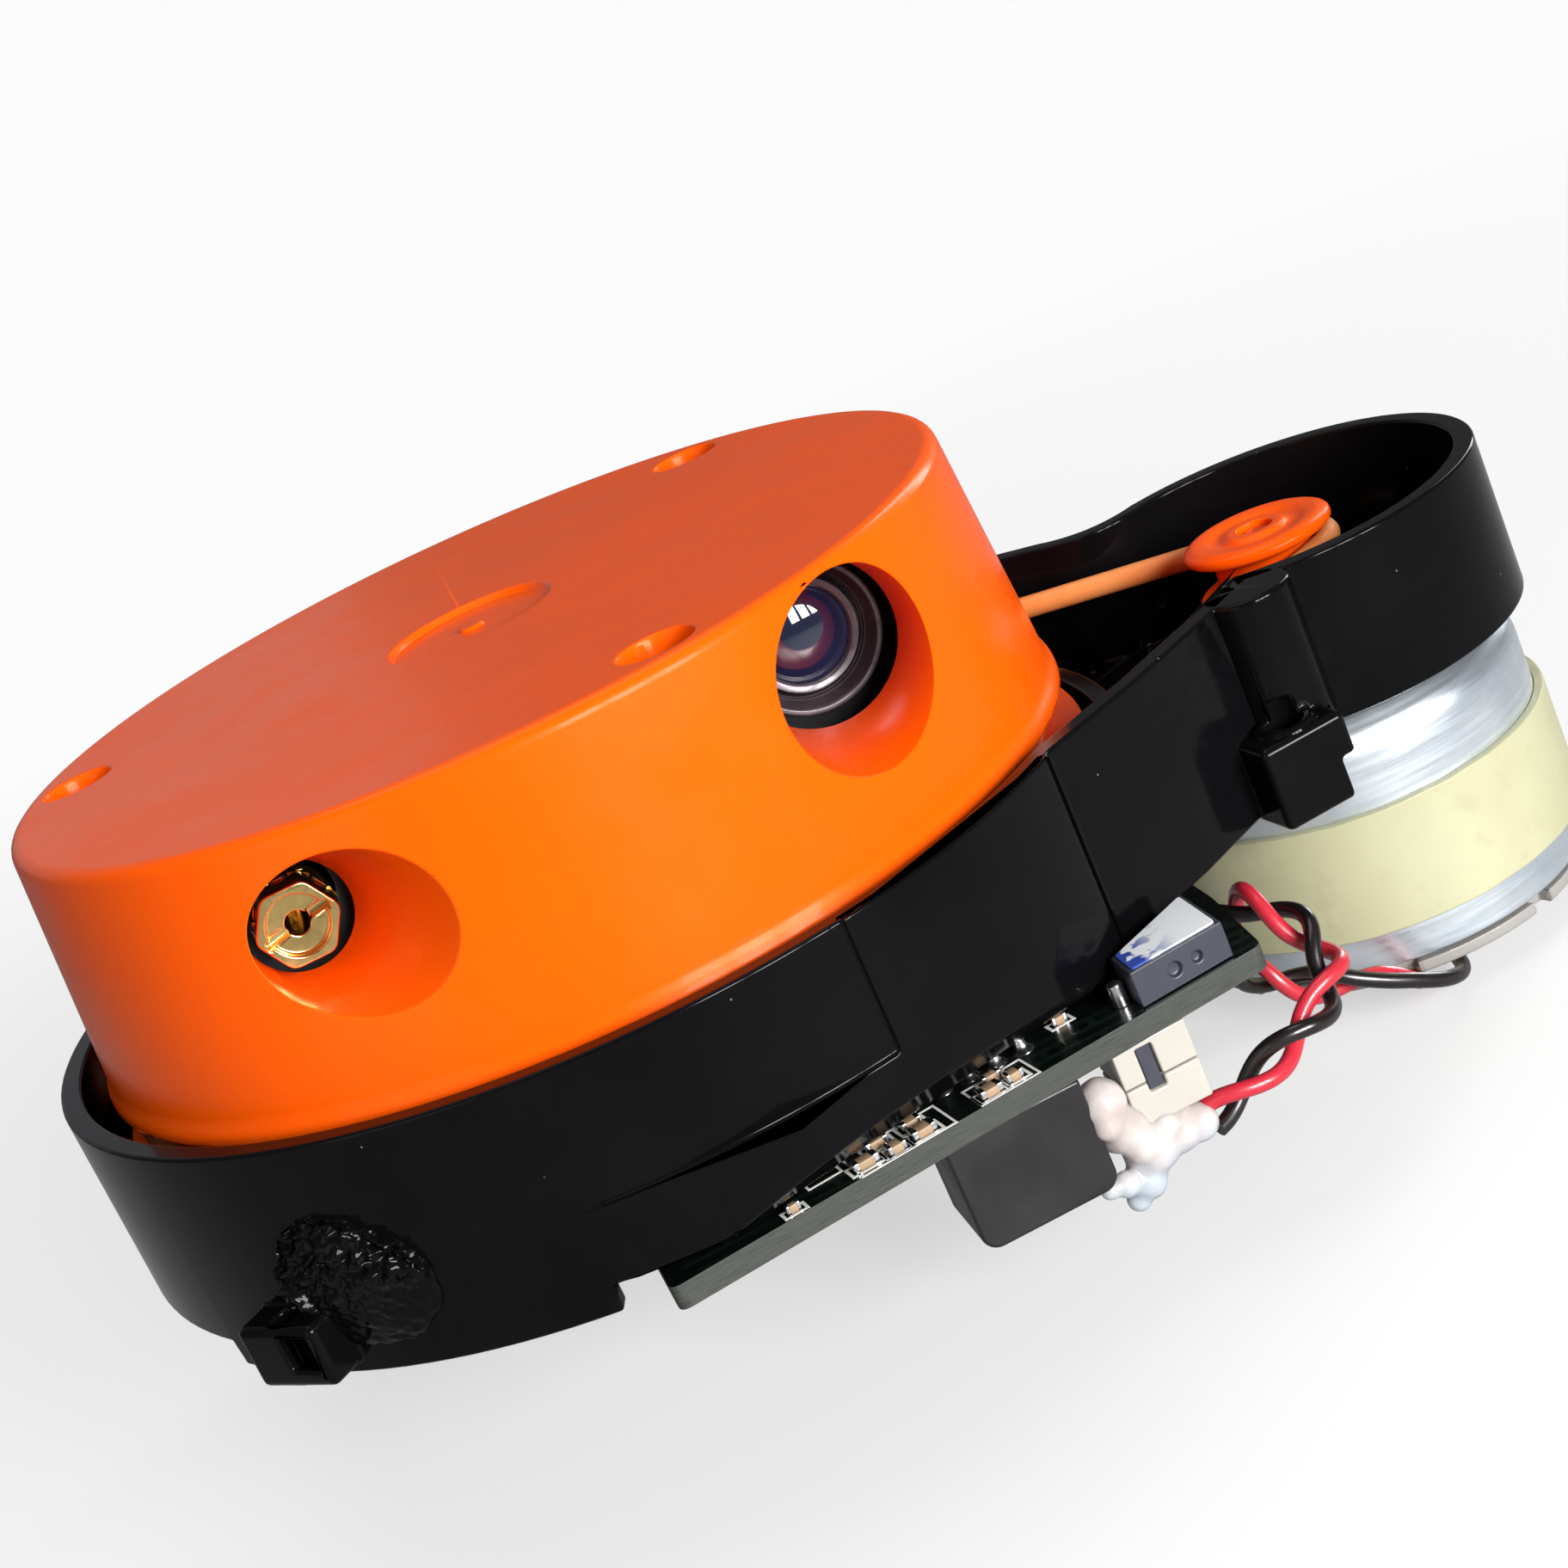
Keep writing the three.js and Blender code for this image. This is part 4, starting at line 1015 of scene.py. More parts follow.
def turret_cover(look):
    outer = soften(turret_profile(0, COVER_Z), 0.3, 6)
    cover = lathe(outer, 200)
    cut(cover, lathe(soften(turret_profile(COVER_T, COVER_Z - 1), 0.4), 200))
    tubes = together(*(funnel(eye, 1.4) for eye in (LENS, LASER)),
                     *(rod(3.1, COVER_Z + 0.2, TURRET_TOP - 1, *on_ring(a), 40) for a in SCREW_ANGLES))
    kept_inside(tubes, lathe(turret_profile(0.5, COVER_Z + 0.1), 160))
    join(cover, tubes)
    cut(cover, *(funnel(eye, 0) for eye in (LENS, LASER)))
    cut(cover, *(rod_y(eye["bore_r"], eye["bore_y"] - 0.2, eye["bore_end"], eye["x"], eye["z"], 128)
                 for eye in (LENS, LASER)))
    round_edges(cover, 0.16, merged=0.1, flatten=False)
    top = TURRET_TOP
    wells = []
    for angle in SCREW_ANGLES:
        x, y = on_ring(angle)
        wells.append(lathe([(0, top - 2.2), (2.3, top - 2.2), (2.4, top - 0.35), (2.5, top - 0.1),
                            (2.7, top + 0.03), (3.2, top + 0.1), (0, top + 1)], 64, x, y))
        wells.append(rod(1.4, 10, top - 1, x, y, 32))
    dish = lathe([(0, top - 0.42), (1.6, top - 0.5), (5.4, top - 0.5), (5.6, top - 0.44), (5.85, top - 0.12),
                  (6.1, top + 0.02), (6.6, top + 0.1), (0, top + 1)], 128)
    cut(cover, *wells)
    cut(cover, dish)
    gate = lathe(soften([(0, top - 0.6), (1.0, top - 0.6), (0.8, top - 0.22), (0, top - 0.28)], 0.12), 40)
    join(cover, gate)
    stand_in(cover, "turret_cover", "turret", look["orange"], "turret_orange")
    return smooth_wall(cover)


def rotor_base(look):
    """Turntable with the belt groove round its edge and the spindle below."""
    top = PLATE_HIGH.z
    groove = TURRET_BELT_R - BELT_D / 2 - 0.25
    lip = BELT_D / 2 + 0.25
    plate = lathe(soften([
        (5.4, 5.9), (7.4, 5.9), (7.4, 12.6), (25, 12.6), (25, 10.8), (35.3, 10.8, 0.3),
        (35.3, 12, 0.25), (groove, BELT_Z - lip, 0.4), (groove, BELT_Z + lip, 0.4), (34.5, top, 0.2),
        (5.4, top)], 0.25), 200)
    return stand_in(plate, "rotor_base", "turret", look["orange"], "turret_orange")


LENS_FRONT = -18.6


def lens_barrel(look):
    """Stepped dark barrel: a wide sloping mouth with fine ridges, then the tube."""
    x, z = LENS["x"], LENS["z"]
    front = LENS_FRONT
    inside = [(3.25, -8), (3.25, front + 2.4)]
    for i in range(4):
        y = front + 2.3 - 0.3 * i
        radius = 3.72 + 0.12 * i
        inside += [(radius, y), (radius, y - 0.16), (radius + 0.1, y - 0.22)]
    outside = [(4.45, front + 0.5), (4.6, front), (4.9, front), (5, front + 0.15), (5, front + 1.3),
               (4.85, front + 1.4), (4.85, front + 1.6), (5, front + 1.7), (5, front + 4.4),
               (3.8, front + 4.4), (3.8, -8)]
    barrel = lathe_y(soften([*inside, *outside], 0.06, 3), x, z, 128)
    return stand_in(barrel, "lens_barrel", "turret", look["barrel"], "black_gloss")


def lens_glass(look):
    """Domed front element."""
    x, z = LENS["x"], LENS["z"]
    low, high = span("lens_glass")
    radius = 3.6
    rise = 1.25
    front = low.y + 0.1
    bulge = 1.1         # half angle of the dome, in radians
    dome = []
    for k in range(19):
        turn = math.asin(math.sin(bulge) * k / 18)
        dome.append((radius * k / 18, front + rise * (1 - math.cos(turn)) / (1 - math.cos(bulge))))
    glass = lathe_y([*dome, (radius, high.y), (0, high.y)], x, z, 96)
    return stand_in(glass, "lens_glass", "turret", look["glass"], "lens_dark")


def lens_ring(look):
    """Thin dark retaining ring round the front element."""
    x, z = LENS["x"], LENS["z"]
    y = LENS_FRONT
    section = [(3.05, y + 1.2), (3.2, y + 0.85), (3.62, y + 0.75), (3.75, y + 1.3)]
    ring = lathe_y(soften(section, 0.06, 3), x, z, 96)
    return finish(ring, "lens_retaining_ring", "turret", look["barrel"], "black_gloss", crease=50)


def laser_barrel(look):
    """Brass collimator: a hexagonal nose with a recessed slotted face, and a plain sleeve."""
    x, z = LASER["x"], LASER["z"]
    nose = prism(soften(arc(0, 0, 2.75, 0, 300, 5), 0.5, 4), -1.3, 1.3)
    nose.data.transform(Matrix.Translation((x, -22.9, z)) @ Matrix.Rotation(math.pi / 2, 4, "X"))
    sleeve = lathe_y(soften([(0, -22), (2.45, -22), (2.45, -11), (0, -11)], 0.1), x, z, 96)
    join(nose, sleeve)
    face = lathe_y([(0, -25), (1.95, -25), (1.85, -23.55), (0, -23.75)], x, z, 72)
    slot = block(x - 2.2, x + 2.2, -24.6, -23.1, z - 0.28, z + 0.28)
    slot.data.transform(Matrix.Translation((x, 0, z)) @ Matrix.Rotation(math.radians(-12), 4, "Y")
                        @ Matrix.Translation((-x, 0, -z)))
    cut(nose, face)
    cut(nose, slot)
    cut(nose, rod_y(0.75, -25, -10.5, x, z, 40))
    round_edges(nose, 0.12, 3)
    return stand_in(nose, "laser_barrel", "turret", look["brass"], "brass_bright")


def cover_screws(look):
    for i, angle in enumerate(SCREW_ANGLES):
        x, y = on_ring(angle)
        top = TURRET_TOP - 0.75
        head = lathe(soften([(0, COVER_Z + 0.6), (1.05, COVER_Z + 0.6), (1.05, top - 1.1), (2.1, top - 1.1),
                             (2.1, top - 0.45, 0.5), (0, top + 0.05)], 0.1), 48, x, y)
        cross_slot(head, 1.25, 0.5, top - 0.65, top + 1, x, y)
        stand_in(head, f"cover_screw_{i + 1}", "turret", look["steel"], "steel")


# ---- belt and pulley ----
def drive_belt(look):
    """Round elastic belt in a loop round the turntable and the pulley."""
    lean = math.degrees(math.asin((TURRET_BELT_R - PULLEY_BELT_R) / MOTOR_X))
    touch = 90 - lean
    line = [*arc(0, 0, TURRET_BELT_R, touch, 360 - touch, 180),
            *arc(MOTOR_X, 0, PULLEY_BELT_R, -touch, touch, 40)]
    sides = 20
    rings = []
    for i, point in enumerate(line):
        here = Vector(point)
        along = (Vector(line[(i + 1) % len(line)]) - Vector(line[i - 1])).normalized()
        out = Vector((along.y, -along.x))
        ring = []
        for k in range(sides):
            a = 2 * math.pi * k / sides
            spot = here + out * BELT_D / 2 * math.cos(a)
            ring.append((spot.x, spot.y, BELT_Z + BELT_D / 2 * math.sin(a)))
        rings.append(ring)
    return stand_in(skin(rings, closed=True), "drive_belt", "base", look["belt"], "belt_salmon")


def motor_pulley(look):
    """Grooved pulley with rounded flanges and a raised hub."""
    top = PULLEY_HIGH.z
    low = PULLEY_LOW.z
    groove = PULLEY_BELT_R - BELT_D / 2 - 0.2
    lip = BELT_D / 2 + 0.25
    edge = (PULLEY_HIGH.x - PULLEY_LOW.x) / 2
    wheel = lathe(soften([
        (1.3, low), (3.2, low), (3.2, 10.8), (5, 10.8, 0.3), (edge, 11.3, 0.3), (edge - 0.05, 11.75, 0.25),
        (groove, BELT_Z - lip, 0.4), (groove, BELT_Z + lip, 0.4), (edge, BELT_Z + lip + 0.2, 0.3),
        (edge, top - 0.35, 0.45), (4.7, top, 0.45), (3.7, top - 0.1, 0.3), (3.1, top - 0.35, 0.3),
        (2.5, top - 0.35, 0.25), (2.1, top, 0.2), (1.3, top)], 0.15), 96, MOTOR_X, 0)
    return stand_in(wheel, "motor_pulley", "drive_rotor", look["orange"], "turret_orange")


# ---- motor ----
def motor_can(look):
    """Drawn steel can with a rolled shoulder, a nose and two vents in its top."""
    r = MOTOR_R
    top = LOOP_Z - 0.3
    low = CAN_LOW.z
    shell = lathe(soften([
        (1.6, top - 1), (r - 2.2, top - 1, 0.9), (r - 1, top - 2.2, 0.9), (r - 1, low), (r, low, 0.2),
        (r, top - 1.9, 1.5), (r - 1.9, top, 1.5), (3.5, top, 0.4), (3.4, top + 1.6, 0.3),
        (1.6, top + 1.6)], 0.15, 8), 128, MOTOR_X, 0)
    vents = [spoke(angle, 8.2, 11.4, 2.2, top - 2, top + 1, MOTOR_X) for angle in (0, 180)]
    cut(shell, *vents)
    round_edges(shell, 0.12, 2)
    return stand_in(shell, "motor_can", "base", look["zinc"], "zinc_can")


def motor_wrap(look):
    """Cream tape round the can: slightly uneven, with its end lapped over its start."""
    r0, r1 = MOTOR_R + 0.06, MOTOR_R + 0.72
    low, high = WRAP_LOW.z, WRAP_HIGH.z
    sides = 220
    lap = 14
    rings = []
    for i in range(sides + lap + 1):
        share = i / sides
        angle = math.radians(35) + 2 * math.pi * share
        out = 0.0 if i <= sides else 0.16
        if sides - 6 < i <= sides:
            out = 0.16 * (i - sides + 6) / 6
        ring = []
        section = soften([(r0, low), (r1, low, 0.15), (r1, high, 0.15), (r0, high)], 0.02, 3)
        for radius, z in section:
            sag = 0.10 * noise.noise(Vector((math.cos(angle) * 3, math.sin(angle) * 3, z * 0.25)))
            edge = 0.08 * noise.noise(Vector((math.cos(angle) * 6, math.sin(angle) * 6, 9)))
            radius += out + (sag if radius > r0 + 0.2 else 0)
            x, y = MOTOR_X + radius * math.cos(angle), radius * math.sin(angle)
            ring.append((x, y, z + edge))
        rings.append(ring)
    return stand_in(skin(rings), "motor_wrap", "base", look["wrap"], "cream_wrap", crease=50)


TERMINALS = [(-4.5, -11.2), (-1.3, -11.2)]    # from the motor's axis


def motor_end_cap(look):
    """Nylon end cap: a disc with a bearing boss, notches round its rim and slots for the terminals."""
    r = MOTOR_R
    low, high = CAP_LOW.z, CAP_HIGH.z
    rim = CAN_LOW.z - 0.3
    cap = lathe(soften([
        (1.6, low), (4, low, 0.2), (4.2, low + 0.25), (9.5, low + 0.25), (9.8, low, 0.15), (r, low, 0.3),
        (r, rim, 0.1), (r - 1.3, rim), (r - 1.3, high), (1.6, high)], 0.12), 128, MOTOR_X, 0)
    tools = [spoke(angle, r - 2, r + 1, 4, low - 1, rim - 0.3, MOTOR_X) for angle in (-150, -40, 80)]
    tools += [spoke(angle, r - 1.1, r + 1, 1.6, low - 1, rim + 1, MOTOR_X) for angle in (-112, -68, 20, 140)]
    tools += [block(MOTOR_X + x - 1.2, MOTOR_X + x + 1.2, y - 0.6, y + 0.6, low - 1, high + 1)
              for x, y in TERMINALS]
    cut(cap, *tools)
    round_edges(cap, 0.14, 2, flatten=False)
    return stand_in(cap, "motor_end_cap", "base", look["cap"], "off_white_cap")


def motor_terminals(look):
    """Flat brass tabs, each with a hole for its wire."""
    for i in range(len(TERMINALS)):
        node = f"motor_terminal_{i + 1}"
        low, high = span(node)
        tab = block(low.x, high.x, low.y, high.y, low.z, high.z)
        middle = (low.x + high.x) / 2
        cut(tab, rod_y(0.4, low.y - 1, high.y + 1, middle, low.z + 0.9, 24))
        round_edges(tab, 0.08, 2)
        stand_in(tab, node, "base", look["gold"], "brass_bright")


def motor_screws(look):
    for i, side in enumerate((-1, 1)):
        y = side * MOTOR_SCREW_Y
        low = LOOP_FLOOR_Z + 0.3
        head = lathe(soften([(0, LOOP_Z + 0.3), (0.95, LOOP_Z + 0.3), (0.95, low), (2, low, 0.1),
                             (2, low + 0.6, 0.5), (0, low + 1.2)], 0.1), 48, MOTOR_X, y)
        cross_slot(head, 1.2, 0.45, low + 0.5, low + 3, MOTOR_X, y)
        stand_in(head, f"motor_screw_{i + 1}", "base", look["steel"], "steel")


# ---- board ----
BOARD_CORNERS = [(-7.8, -37.4), (33.2, -32.3), (34, -22.8), (34, -16.6), (-8, -16.6)]
BOARD_POSTS = [(-4, -20), (30, -19.8)]
PIN_PITCH = 1.83
SOCKET_PINS = [(12.06 + PIN_PITCH * i, -30.3) for i in range(4)]
PLUG_WIRES = (23.4, 25.3)    # where the two wires are along X


def main_board(look):
    board = prism(soften([(*c, 0.8) for c in BOARD_CORNERS], 0.8, 6), BOARD_UNDER, BOARD_TOP)
    cut(board, *(rod(1.2, -3, 4, x, y, 32) for x, y in BOARD_POSTS))
    round_edges(board, 0.06, 2, 50)
    stand_in(board, "main_board", "base", (look["board"], look["board_edge"]), "board_green")
    for face in board.data.polygons:
        face.material_index = 1 if abs(face.normal.z) < 0.5 else 0
    return board


def tiny_box(x, y, wide, deep, high, turn=0, under=False):
    """A small block standing on the board, or hanging under it."""
    base = BOARD_UNDER - high if under else BOARD_TOP
    piece = block(-wide / 2, wide / 2, -deep / 2, deep / 2, base - (0 if under else 0.02),
                  base + high + (0.02 if under else 0))
    return placed(piece, x, y, turn)


def frame_line(x, y, wide, deep, line, turn):
    """A printed rectangle outline on top of the board."""
    corners = [(-wide / 2, -deep / 2), (wide / 2, -deep / 2), (wide / 2, deep / 2), (-wide / 2, deep / 2)]
    low, high = BOARD_TOP - 0.01, BOARD_TOP + 0.025
    piece = skin([[(px - math.copysign(inward, px), py - math.copysign(inward, py), z) for px, py in corners]
                  for z, inward in ((low, 0), (high, 0), (high, line), (low, line))], closed=True)
    return placed(piece, x, y, turn)


BOARD_TILT = 7.1    # the front edge of the board runs at this angle to X
TOP_PARTS = [
    # x, y, width, depth of the small parts on top of the board
    (5.6, -34.5, 1.7, 0.9), (7.6, -34.6, 1.2, 1.0), (9.5, -34.2, 1.6, 1.1), (6.8, -32.9, 1.5, 0.8),
    (9.2, -32.6, 1.3, 0.9), (14.2, -33.6, 1.5, 1.0), (15.9, -33.2, 1.1, 0.9), (14.8, -32.1, 1.3, 0.7),
    (0.6, -35.6, 0.9, 0.5), (20.5, -29.2, 1.0, 0.5),
]


def board_parts(look):
    """Small surface-mounted parts with bright ends, and the printed outlines round them."""
    bodies, ends, print_lines = [], [], []
    for x, y, wide, deep in TOP_PARTS:
        bodies.append(tiny_box(x, y, wide * 0.6, deep, 0.5, BOARD_TILT))
        for side in (-1, 1):
            shift = side * wide * 0.38
            tilt = math.radians(BOARD_TILT)
            ends.append(tiny_box(x + shift * math.cos(tilt), y + shift * math.sin(tilt), wide * 0.24, deep,
                                 0.54, BOARD_TILT))
        print_lines.append(frame_line(x, y, wide + 0.75, deep + 0.65, 0.2, BOARD_TILT))
    for x, y, wide, deep in ((8.0, -33.6, 6.6, 3.7), (15.1, -32.9, 4.2, 3.1), (3.0, -33.0, 2.4, 1.9)):
        print_lines.append(frame_line(x, y, wide, deep, 0.16, BOARD_TILT))
    bodies = round_edges(together(*bodies), 0.05, 2)
    finish(bodies, "board_small_parts", "base", look["ceramic"], "black_matt")
    ends = round_edges(together(*ends), 0.06, 2)
    finish(ends, "board_part_ends", "base", look["solder"], "steel")
    finish(together(*print_lines), "board_print", "base", look["white_ink"], "off_white_cap")


def pin_tops(look):
    """The socket's pins where they come through the board, each in a cone of solder."""
    cones = []
    for x, y in SOCKET_PINS:
        cone = soften([(0, BOARD_TOP - 0.02), (0.75, BOARD_TOP - 0.02), (0.36, BOARD_TOP + 0.35, 0.3),
                       (0.28, BOARD_TOP + 0.95), (0, BOARD_TOP + 1.0)], 0.06)
        cones.append(lathe(cone, 28, x, y))
    cones.append(lathe(soften([(0, BOARD_TOP - 0.02), (0.55, BOARD_TOP - 0.02), (0.5, BOARD_TOP + 1.5),
                               (0, BOARD_TOP + 1.6)], 0.1), 28, 24.1, -31.0))
    finish(together(*cones), "socket_pin_tops", "base", look["solder"], "steel")


def solder_joints(look):
    """Solder where leads come through the board, and the small parts under it."""
    spots = [(x, -27.4) for x in PLUG_WIRES]
    spots += [(-5 + 2.1 * i, -24.5) for i in range(3)] + [(12 + PIN_PITCH * i, -22.2) for i in range(5)]
    lumps = []
    for x, y in spots:
        lumps.append(lathe([(0, BOARD_UNDER + 0.02), (0.7, BOARD_UNDER + 0.02), (0.52, BOARD_UNDER - 0.28),
                            (0.25, BOARD_UNDER - 0.5), (0, BOARD_UNDER - 0.58)], 24, x, y))
    under = [(-1, -33.5, 2, 1.1), (4.2, -32.6, 1.6, 0.8), (6.6, -27.5, 2.0, 1.2),
             (6.8, -24.0, 1.3, 0.7), (29.6, -29.6, 2.4, 1.4), (29.4, -25.8, 1.3, 0.7),
             (17.5, -20.0, 1.6, 0.9), (20.2, -20.2, 1.0, 0.6)]
    parts = [tiny_box(x, y, wide, deep, 0.6, 0, True) for x, y, wide, deep in under]
    finish(together(*lumps), "under_board_solder", "base", look["solder"], "steel", crease=60)
    finish(round_edges(together(*parts), 0.06, 2), "under_board_parts", "base", look["ceramic"], "black_matt")


def board_module(look):
    low, high = span("board_module")
    outline = [(24.8, -32.9), (31.4, -32.1), (31.4, -25.6), (27.8, -27.8), (24.8, -29.6)]
    body = prism(outline, low.z - 0.25, high.z - 0.15)
    dents = []
    tilt = math.degrees(math.atan2(0.8, 6.6))
    for x, size in ((27.6, 0.55), (29.2, 0.42)):
        y = -32.9 + (x - 24.8) * 0.8 / 6.6
        dent = lathe_y([(0, -0.5), (size, -0.5), (size * 0.8, 0.35), (0, 0.35)], 0, 0, 24)
        place = Matrix.Translation((x, y, low.z + 0.9))
        dent.data.transform(place @ Matrix.Rotation(math.radians(tilt), 4, "Z"))
        dents.append(dent)
    cut(body, *dents)
    round_edges(body, 0.12, 3)
    stand_in(body, "board_module", "base", look["grey"], "module_grey")
    paper = prism(soften([(*p, 0.3) for p in inset(outline, 0.3)], 0.3), high.z - 0.16, high.z - 0.04)
    finish(paper, "module_label", "base", look["label"], "off_white_cap")


def main_socket(look):
    """Shrouded socket, with rounded lower corners and four bright pins inside."""
    low, high = span("main_socket")
    body = block(low.x, high.x, low.y, high.y, low.z, high.z)
    corners = piece_corner_cut(low, high)
    cut(body, *corners)
    cut(body, block(low.x + 1, high.x - 1, low.y + 1.3, high.y - 1.3, low.z - 1, high.z - 1.2))
    cut(body, block(low.x + 2.8, high.x - 2.8, high.y - 1.6, high.y + 1, low.z - 1, low.z + 3.4))
    round_edges(body, 0.25, 4)
    stand_in(body, "main_socket", "base", look["socket"], "black_matt")
    pins = []
    for x, y in SOCKET_PINS:
        pins.append(block(x - 0.3, x + 0.3, y - 0.3, y + 0.3, high.z - 6, high.z - 1))
    finish(round_edges(together(*pins), 0.12, 2), "main_socket_pins", "base", look["gold"], "brass_bright")


def piece_corner_cut(low, high, size=1.1):
    """Cutters that round the socket's two lower edges along Y."""
    tools = []
    for x, sign in ((low.x, 1), (high.x, -1)):
        outline = [(x - sign * 0.5, low.z - 0.5), (x + sign * size, low.z - 0.5)]
        outline += [(x + sign * size * (1 - math.sin(a)), low.z + size * (1 - math.cos(a)))
                    for a in (math.pi / 2 * k / 8 for k in range(9))]
        outline += [(x - sign * 0.5, low.z + size)]
        tool = prism([(px, -pz) for px, pz in outline], 0, high.y - low.y + 2)
        tool.data.transform(Matrix.Translation((0, high.y + 1, 0)) @ Matrix.Rotation(math.pi / 2, 4, "X")
                            @ Matrix.Scale(-1, 4, (0, 1, 0)))
        tools.append(tool)
    return tools


def latch_groove(low):
    """Cutter for the groove down the front of the header and the plug."""
    return block(23.35, 24.5, low.y - 1, low.y + 0.6, -3.5, -0.5)


def motor_header(look):
    low, high = span("motor_header")
    tray = block(low.x, high.x, low.y, high.y, low.z, high.z)
    cut(tray, block(low.x + 0.8, high.x - 0.8, low.y + 0.8, high.y - 0.8, low.z - 1, high.z - 0.8))
    cut(tray, latch_groove(low))
    round_edges(tray, 0.12, 3)
    stand_in(tray, "motor_header", "base", look["ivory"], "ivory_plastic")


def motor_plug(look):
    """Plug in the header: a grip with a grey latch in its groove and two wire mouths below."""
    low, high = span("motor_plug")
    grip_top = span("motor_header")[0].z - 0.12
    grip = block(low.x, high.x, low.y, high.y, low.z, grip_top)
    neck = block(low.x + 1.1, high.x - 1.1, low.y + 1.1, high.y - 1.1, grip_top - 0.5, high.z)
    join(grip, neck)
    mouths = [rod(0.75, low.z - 1, low.z + 1.4, x, -30.4, 32) for x in PLUG_WIRES]
    cut(grip, latch_groove(low), *mouths)
    round_edges(grip, 0.16, 3)
    stand_in(grip, "motor_plug", "base", look["ivory"], "ivory_plastic")
    latch = round_edges(block(23.45, 24.4, low.y + 0.25, low.y + 0.7, -3.45, -0.45), 0.08, 2)
    finish(latch, "plug_latch", "base", look["grey"], "module_grey")


GLUE_LUMPS = [
    # x, y, z, radius of the lumps that run together
    (20.3, -32.3, -2.7, 1.6), (20.9, -31.9, -4.9, 1.7), (22.3, -31.4, -7.2, 1.9),
    (24.2, -31.2, -7.1, 1.6), (21.2, -31.5, -9.0, 1.4), (20.3, -31.5, -10.1, 0.8),
    (25.7, -31.0, -7.5, 1.3), (19.8, -32.4, -8.3, 0.9), (18.7, -32.6, -8.1, 0.65),
    (23.4, -32.1, -6.1, 1.1), (21.6, -32.4, -6.2, 1.3), (20.0, -32.9, -3.8, 1.1),
]


def glue_blob(look):
    """Hot glue: lumps that run together, melted smooth by a remesh."""
    bm = bmesh.new()
    for x, y, z, size in GLUE_LUMPS:
        bmesh.ops.create_icosphere(bm, subdivisions=4, radius=size, matrix=Matrix.Translation((x, y, z)))
    blob = held(bm)
    melt = blob.modifiers.new("melt", "REMESH")
    melt.mode = "VOXEL"
    melt.voxel_size = 0.11
    soft = blob.modifiers.new("soft", "SMOOTH")
    soft.factor = 0.8
    soft.iterations = 30
    settle(blob)
    for vert in blob.data.vertices:
        vert.co += vert.normal * (0.08 * noise.noise(vert.co * 0.9) + 0.02 * noise.noise(vert.co * 2.0))
    return stand_in(blob, "glue_blob", "base", look["glue"], "glue", crease=80)


def board_screws(look):
    for i, (x, y) in enumerate(BOARD_POSTS):
        low, high = span(f"board_screw_{i + 1}")
        under = BOARD_UNDER - 0.12
        head = lathe(soften([(0, low.z), (1.5, low.z + 0.15, 0.3), (2, under - 0.25, 0.3), (2, under, 0.1),
                             (0.6, under), (0.6, high.z), (0, high.z)], 0.1), 48, x, y)
        cross_slot(head, 1.1, 0.42, low.z - 1, low.z + 0.75, x, y)
        stand_in(head, f"board_screw_{i + 1}", "base", look["steel"], "steel")


# ---- plain CAD nodes, inside or under the module ----
PLAIN_NODES = {
    # slot: its look, and the nodes that have it
    "steel": ("steel", ["bearing_outer_ring", "bearing_inner_ring", "bearing_ball_cage"]),
    "black_matt": ("matt", ["index_sensor", "index_ring", "lens_holder", "laser_holder", "processor_chip",
                            "driver_chip"]),
    "brass_bright": ("brass", ["brush_block", "slip_ring", "laser_diode"]),
    "board_green": ("board", ["sensor_board", "rotor_board"]),
    "copper_winding": ("copper", ["motor_armature"]),
    "magnet_grey": ("magnet", ["motor_magnet_left", "motor_magnet_right"]),
}


def dress_cad(look):
    """Gives each CAD node that stays in the model its procedural material."""
    for slot, (finish_name, names) in PLAIN_NODES.items():
        for name in names:
            node = frame["nodes"][name]
            node.data.materials.clear()
            node.data.materials.append(look[finish_name])


# ---- studio ----
def area_light(name, spot, aim, width, height, power, colour=(1, 1, 1)):
    data = bpy.data.lights.new(name, "AREA")
    data.shape = "RECTANGLE"
    data.size = width
    data.size_y = height
    data.energy = power
    data.color = colour
    light = bpy.data.objects.new(name, data)
    bpy.context.scene.collection.objects.link(light)
    light.location = spot
    light.rotation_euler = (Vector(aim) - Vector(spot)).to_track_quat("-Z", "Y").to_euler()
    return light


def add_floor():
    """A pale disc under the object. It thins out with distance, so no edge of it is seen."""
    bm = bmesh.new()
    bmesh.ops.create_circle(bm, cap_ends=True, segments=96, radius=0.4)
    mesh = bpy.data.meshes.new("floor")
    bm.to_mesh(mesh)
    bm.free()
    floor = bpy.data.objects.new("floor", mesh)
    bpy.context.scene.collection.objects.link(floor)
    floor.location = (0.02, 0, CAD_BOX[0].z - 0.0004)
    look = Look("floor")
    look.paint(look.ramp(look.cloud(3, 3), 0.3, 0.7), (0.88, 0.88, 0.88, 1), (0.92, 0.92, 0.92, 1))
    look.set("Roughness", 0.8)
    from_middle = look.nodes.new("ShaderNodeVectorMath")
    from_middle.operation = "LENGTH"
    look.links.new(look.place, from_middle.inputs[0])
    look.feed("Alpha", look.ramp(from_middle.outputs["Value"], 0.06, 0.3, 0.45, 0.0))
    mesh.materials.append(look.material)


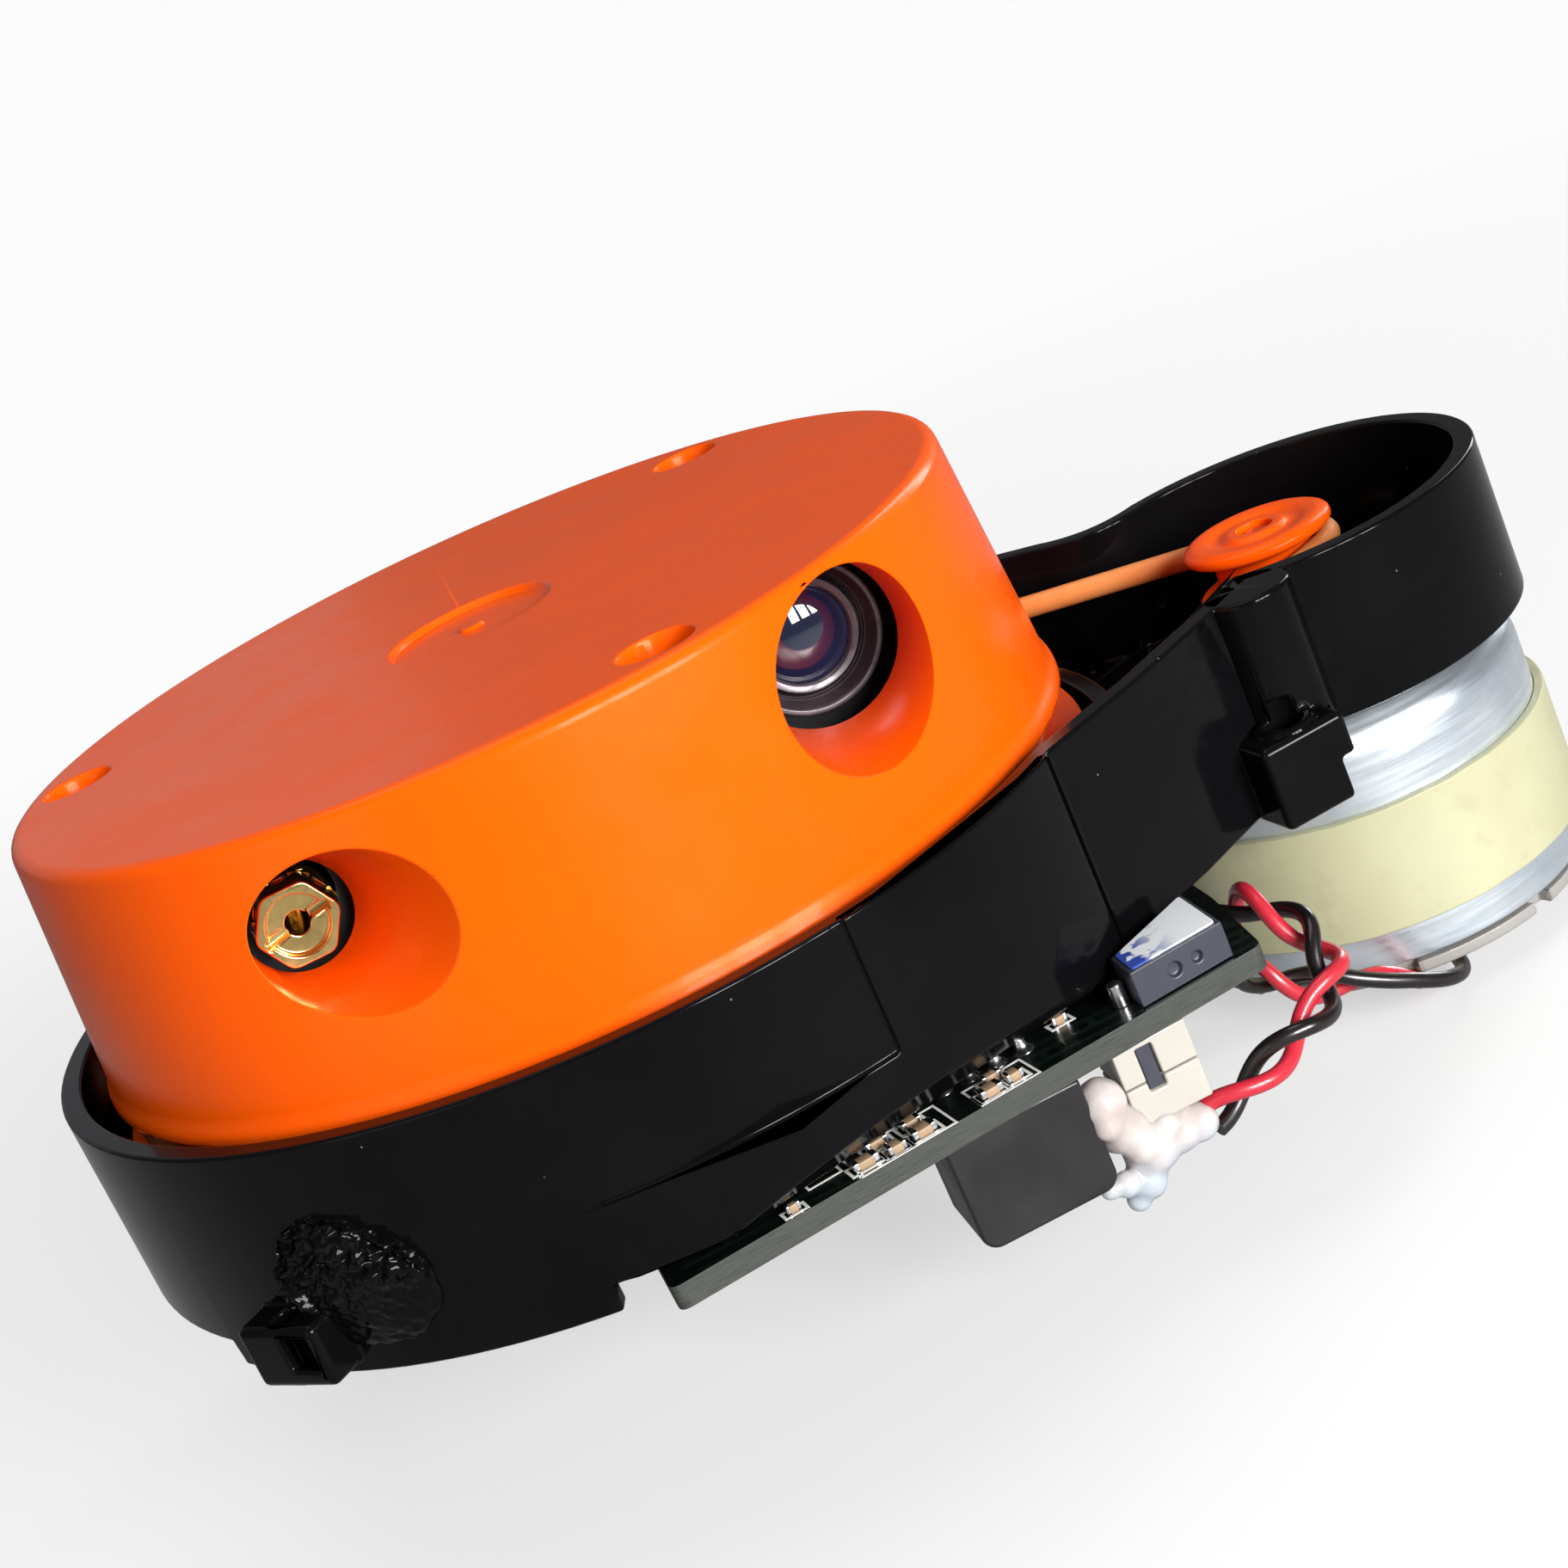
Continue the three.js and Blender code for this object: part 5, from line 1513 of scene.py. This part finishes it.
def add_world():
    world = bpy.data.worlds.new("studio")
    bpy.context.scene.world = world
    world.use_nodes = True
    nodes = world.node_tree.nodes
    links = world.node_tree.links
    backdrop = nodes["Background"]
    backdrop.inputs["Color"].default_value = (1, 1, 1, 1)
    backdrop.inputs["Strength"].default_value = 0.97
    soft = nodes.new("ShaderNodeBackground")
    soft.inputs["Color"].default_value = (0.94, 0.96, 1, 1)
    soft.inputs["Strength"].default_value = 0.15
    seen = nodes.new("ShaderNodeLightPath")
    pick = nodes.new("ShaderNodeMixShader")
    links.new(seen.outputs["Is Camera Ray"], pick.inputs["Fac"])
    links.new(soft.outputs["Background"], pick.inputs[1])
    links.new(backdrop.outputs["Background"], pick.inputs[2])
    links.new(pick.outputs["Shader"], nodes["World Output"].inputs["Surface"])


def add_lights():
    centre = (0.015, 0, 0.02)
    for i, (x, y) in enumerate(((0.09, -0.56), (0.2, -0.52), (0.31, -0.48))):
        area_light(f"key_{i + 1}", (x, y, 0.15), centre, 0.085, 0.2, 2.2)
    area_light("left_fill", (-0.42, -0.3, 0.12), centre, 0.3, 0.4, 0.35)
    area_light("top", (0.0, 0.1, 0.6), centre, 0.5, 0.4, 1.0)
    area_light("back_veil", (-0.25, 0.55, 0.25), centre, 0.6, 0.4, 0.16, (0.92, 0.95, 1))
    area_light("edge", (0.45, 0.3, 0.2), centre, 0.1, 0.4, 0.9)


def main():
    add_camera()
    look = looks()
    add_lead("lead_red_look", "lead_red", 0, look["red"])
    add_lead("lead_black_look", "lead_black", math.pi, look["dark"])
    for build in (base_shell, lug_sealant, hub_cover, turret_cover, rotor_base, lens_barrel, lens_glass,
                  lens_ring, laser_barrel, cover_screws, drive_belt, motor_pulley, motor_can, motor_wrap,
                  motor_end_cap, motor_terminals, motor_screws, main_board, board_parts, pin_tops,
                  solder_joints, board_module, main_socket, motor_header, motor_plug, glue_blob,
                  board_screws):
        build(look)
    dress_cad(look)
    add_floor()
    add_world()
    add_lights()
    bpy.context.scene.view_settings.view_transform = "Standard"


main()
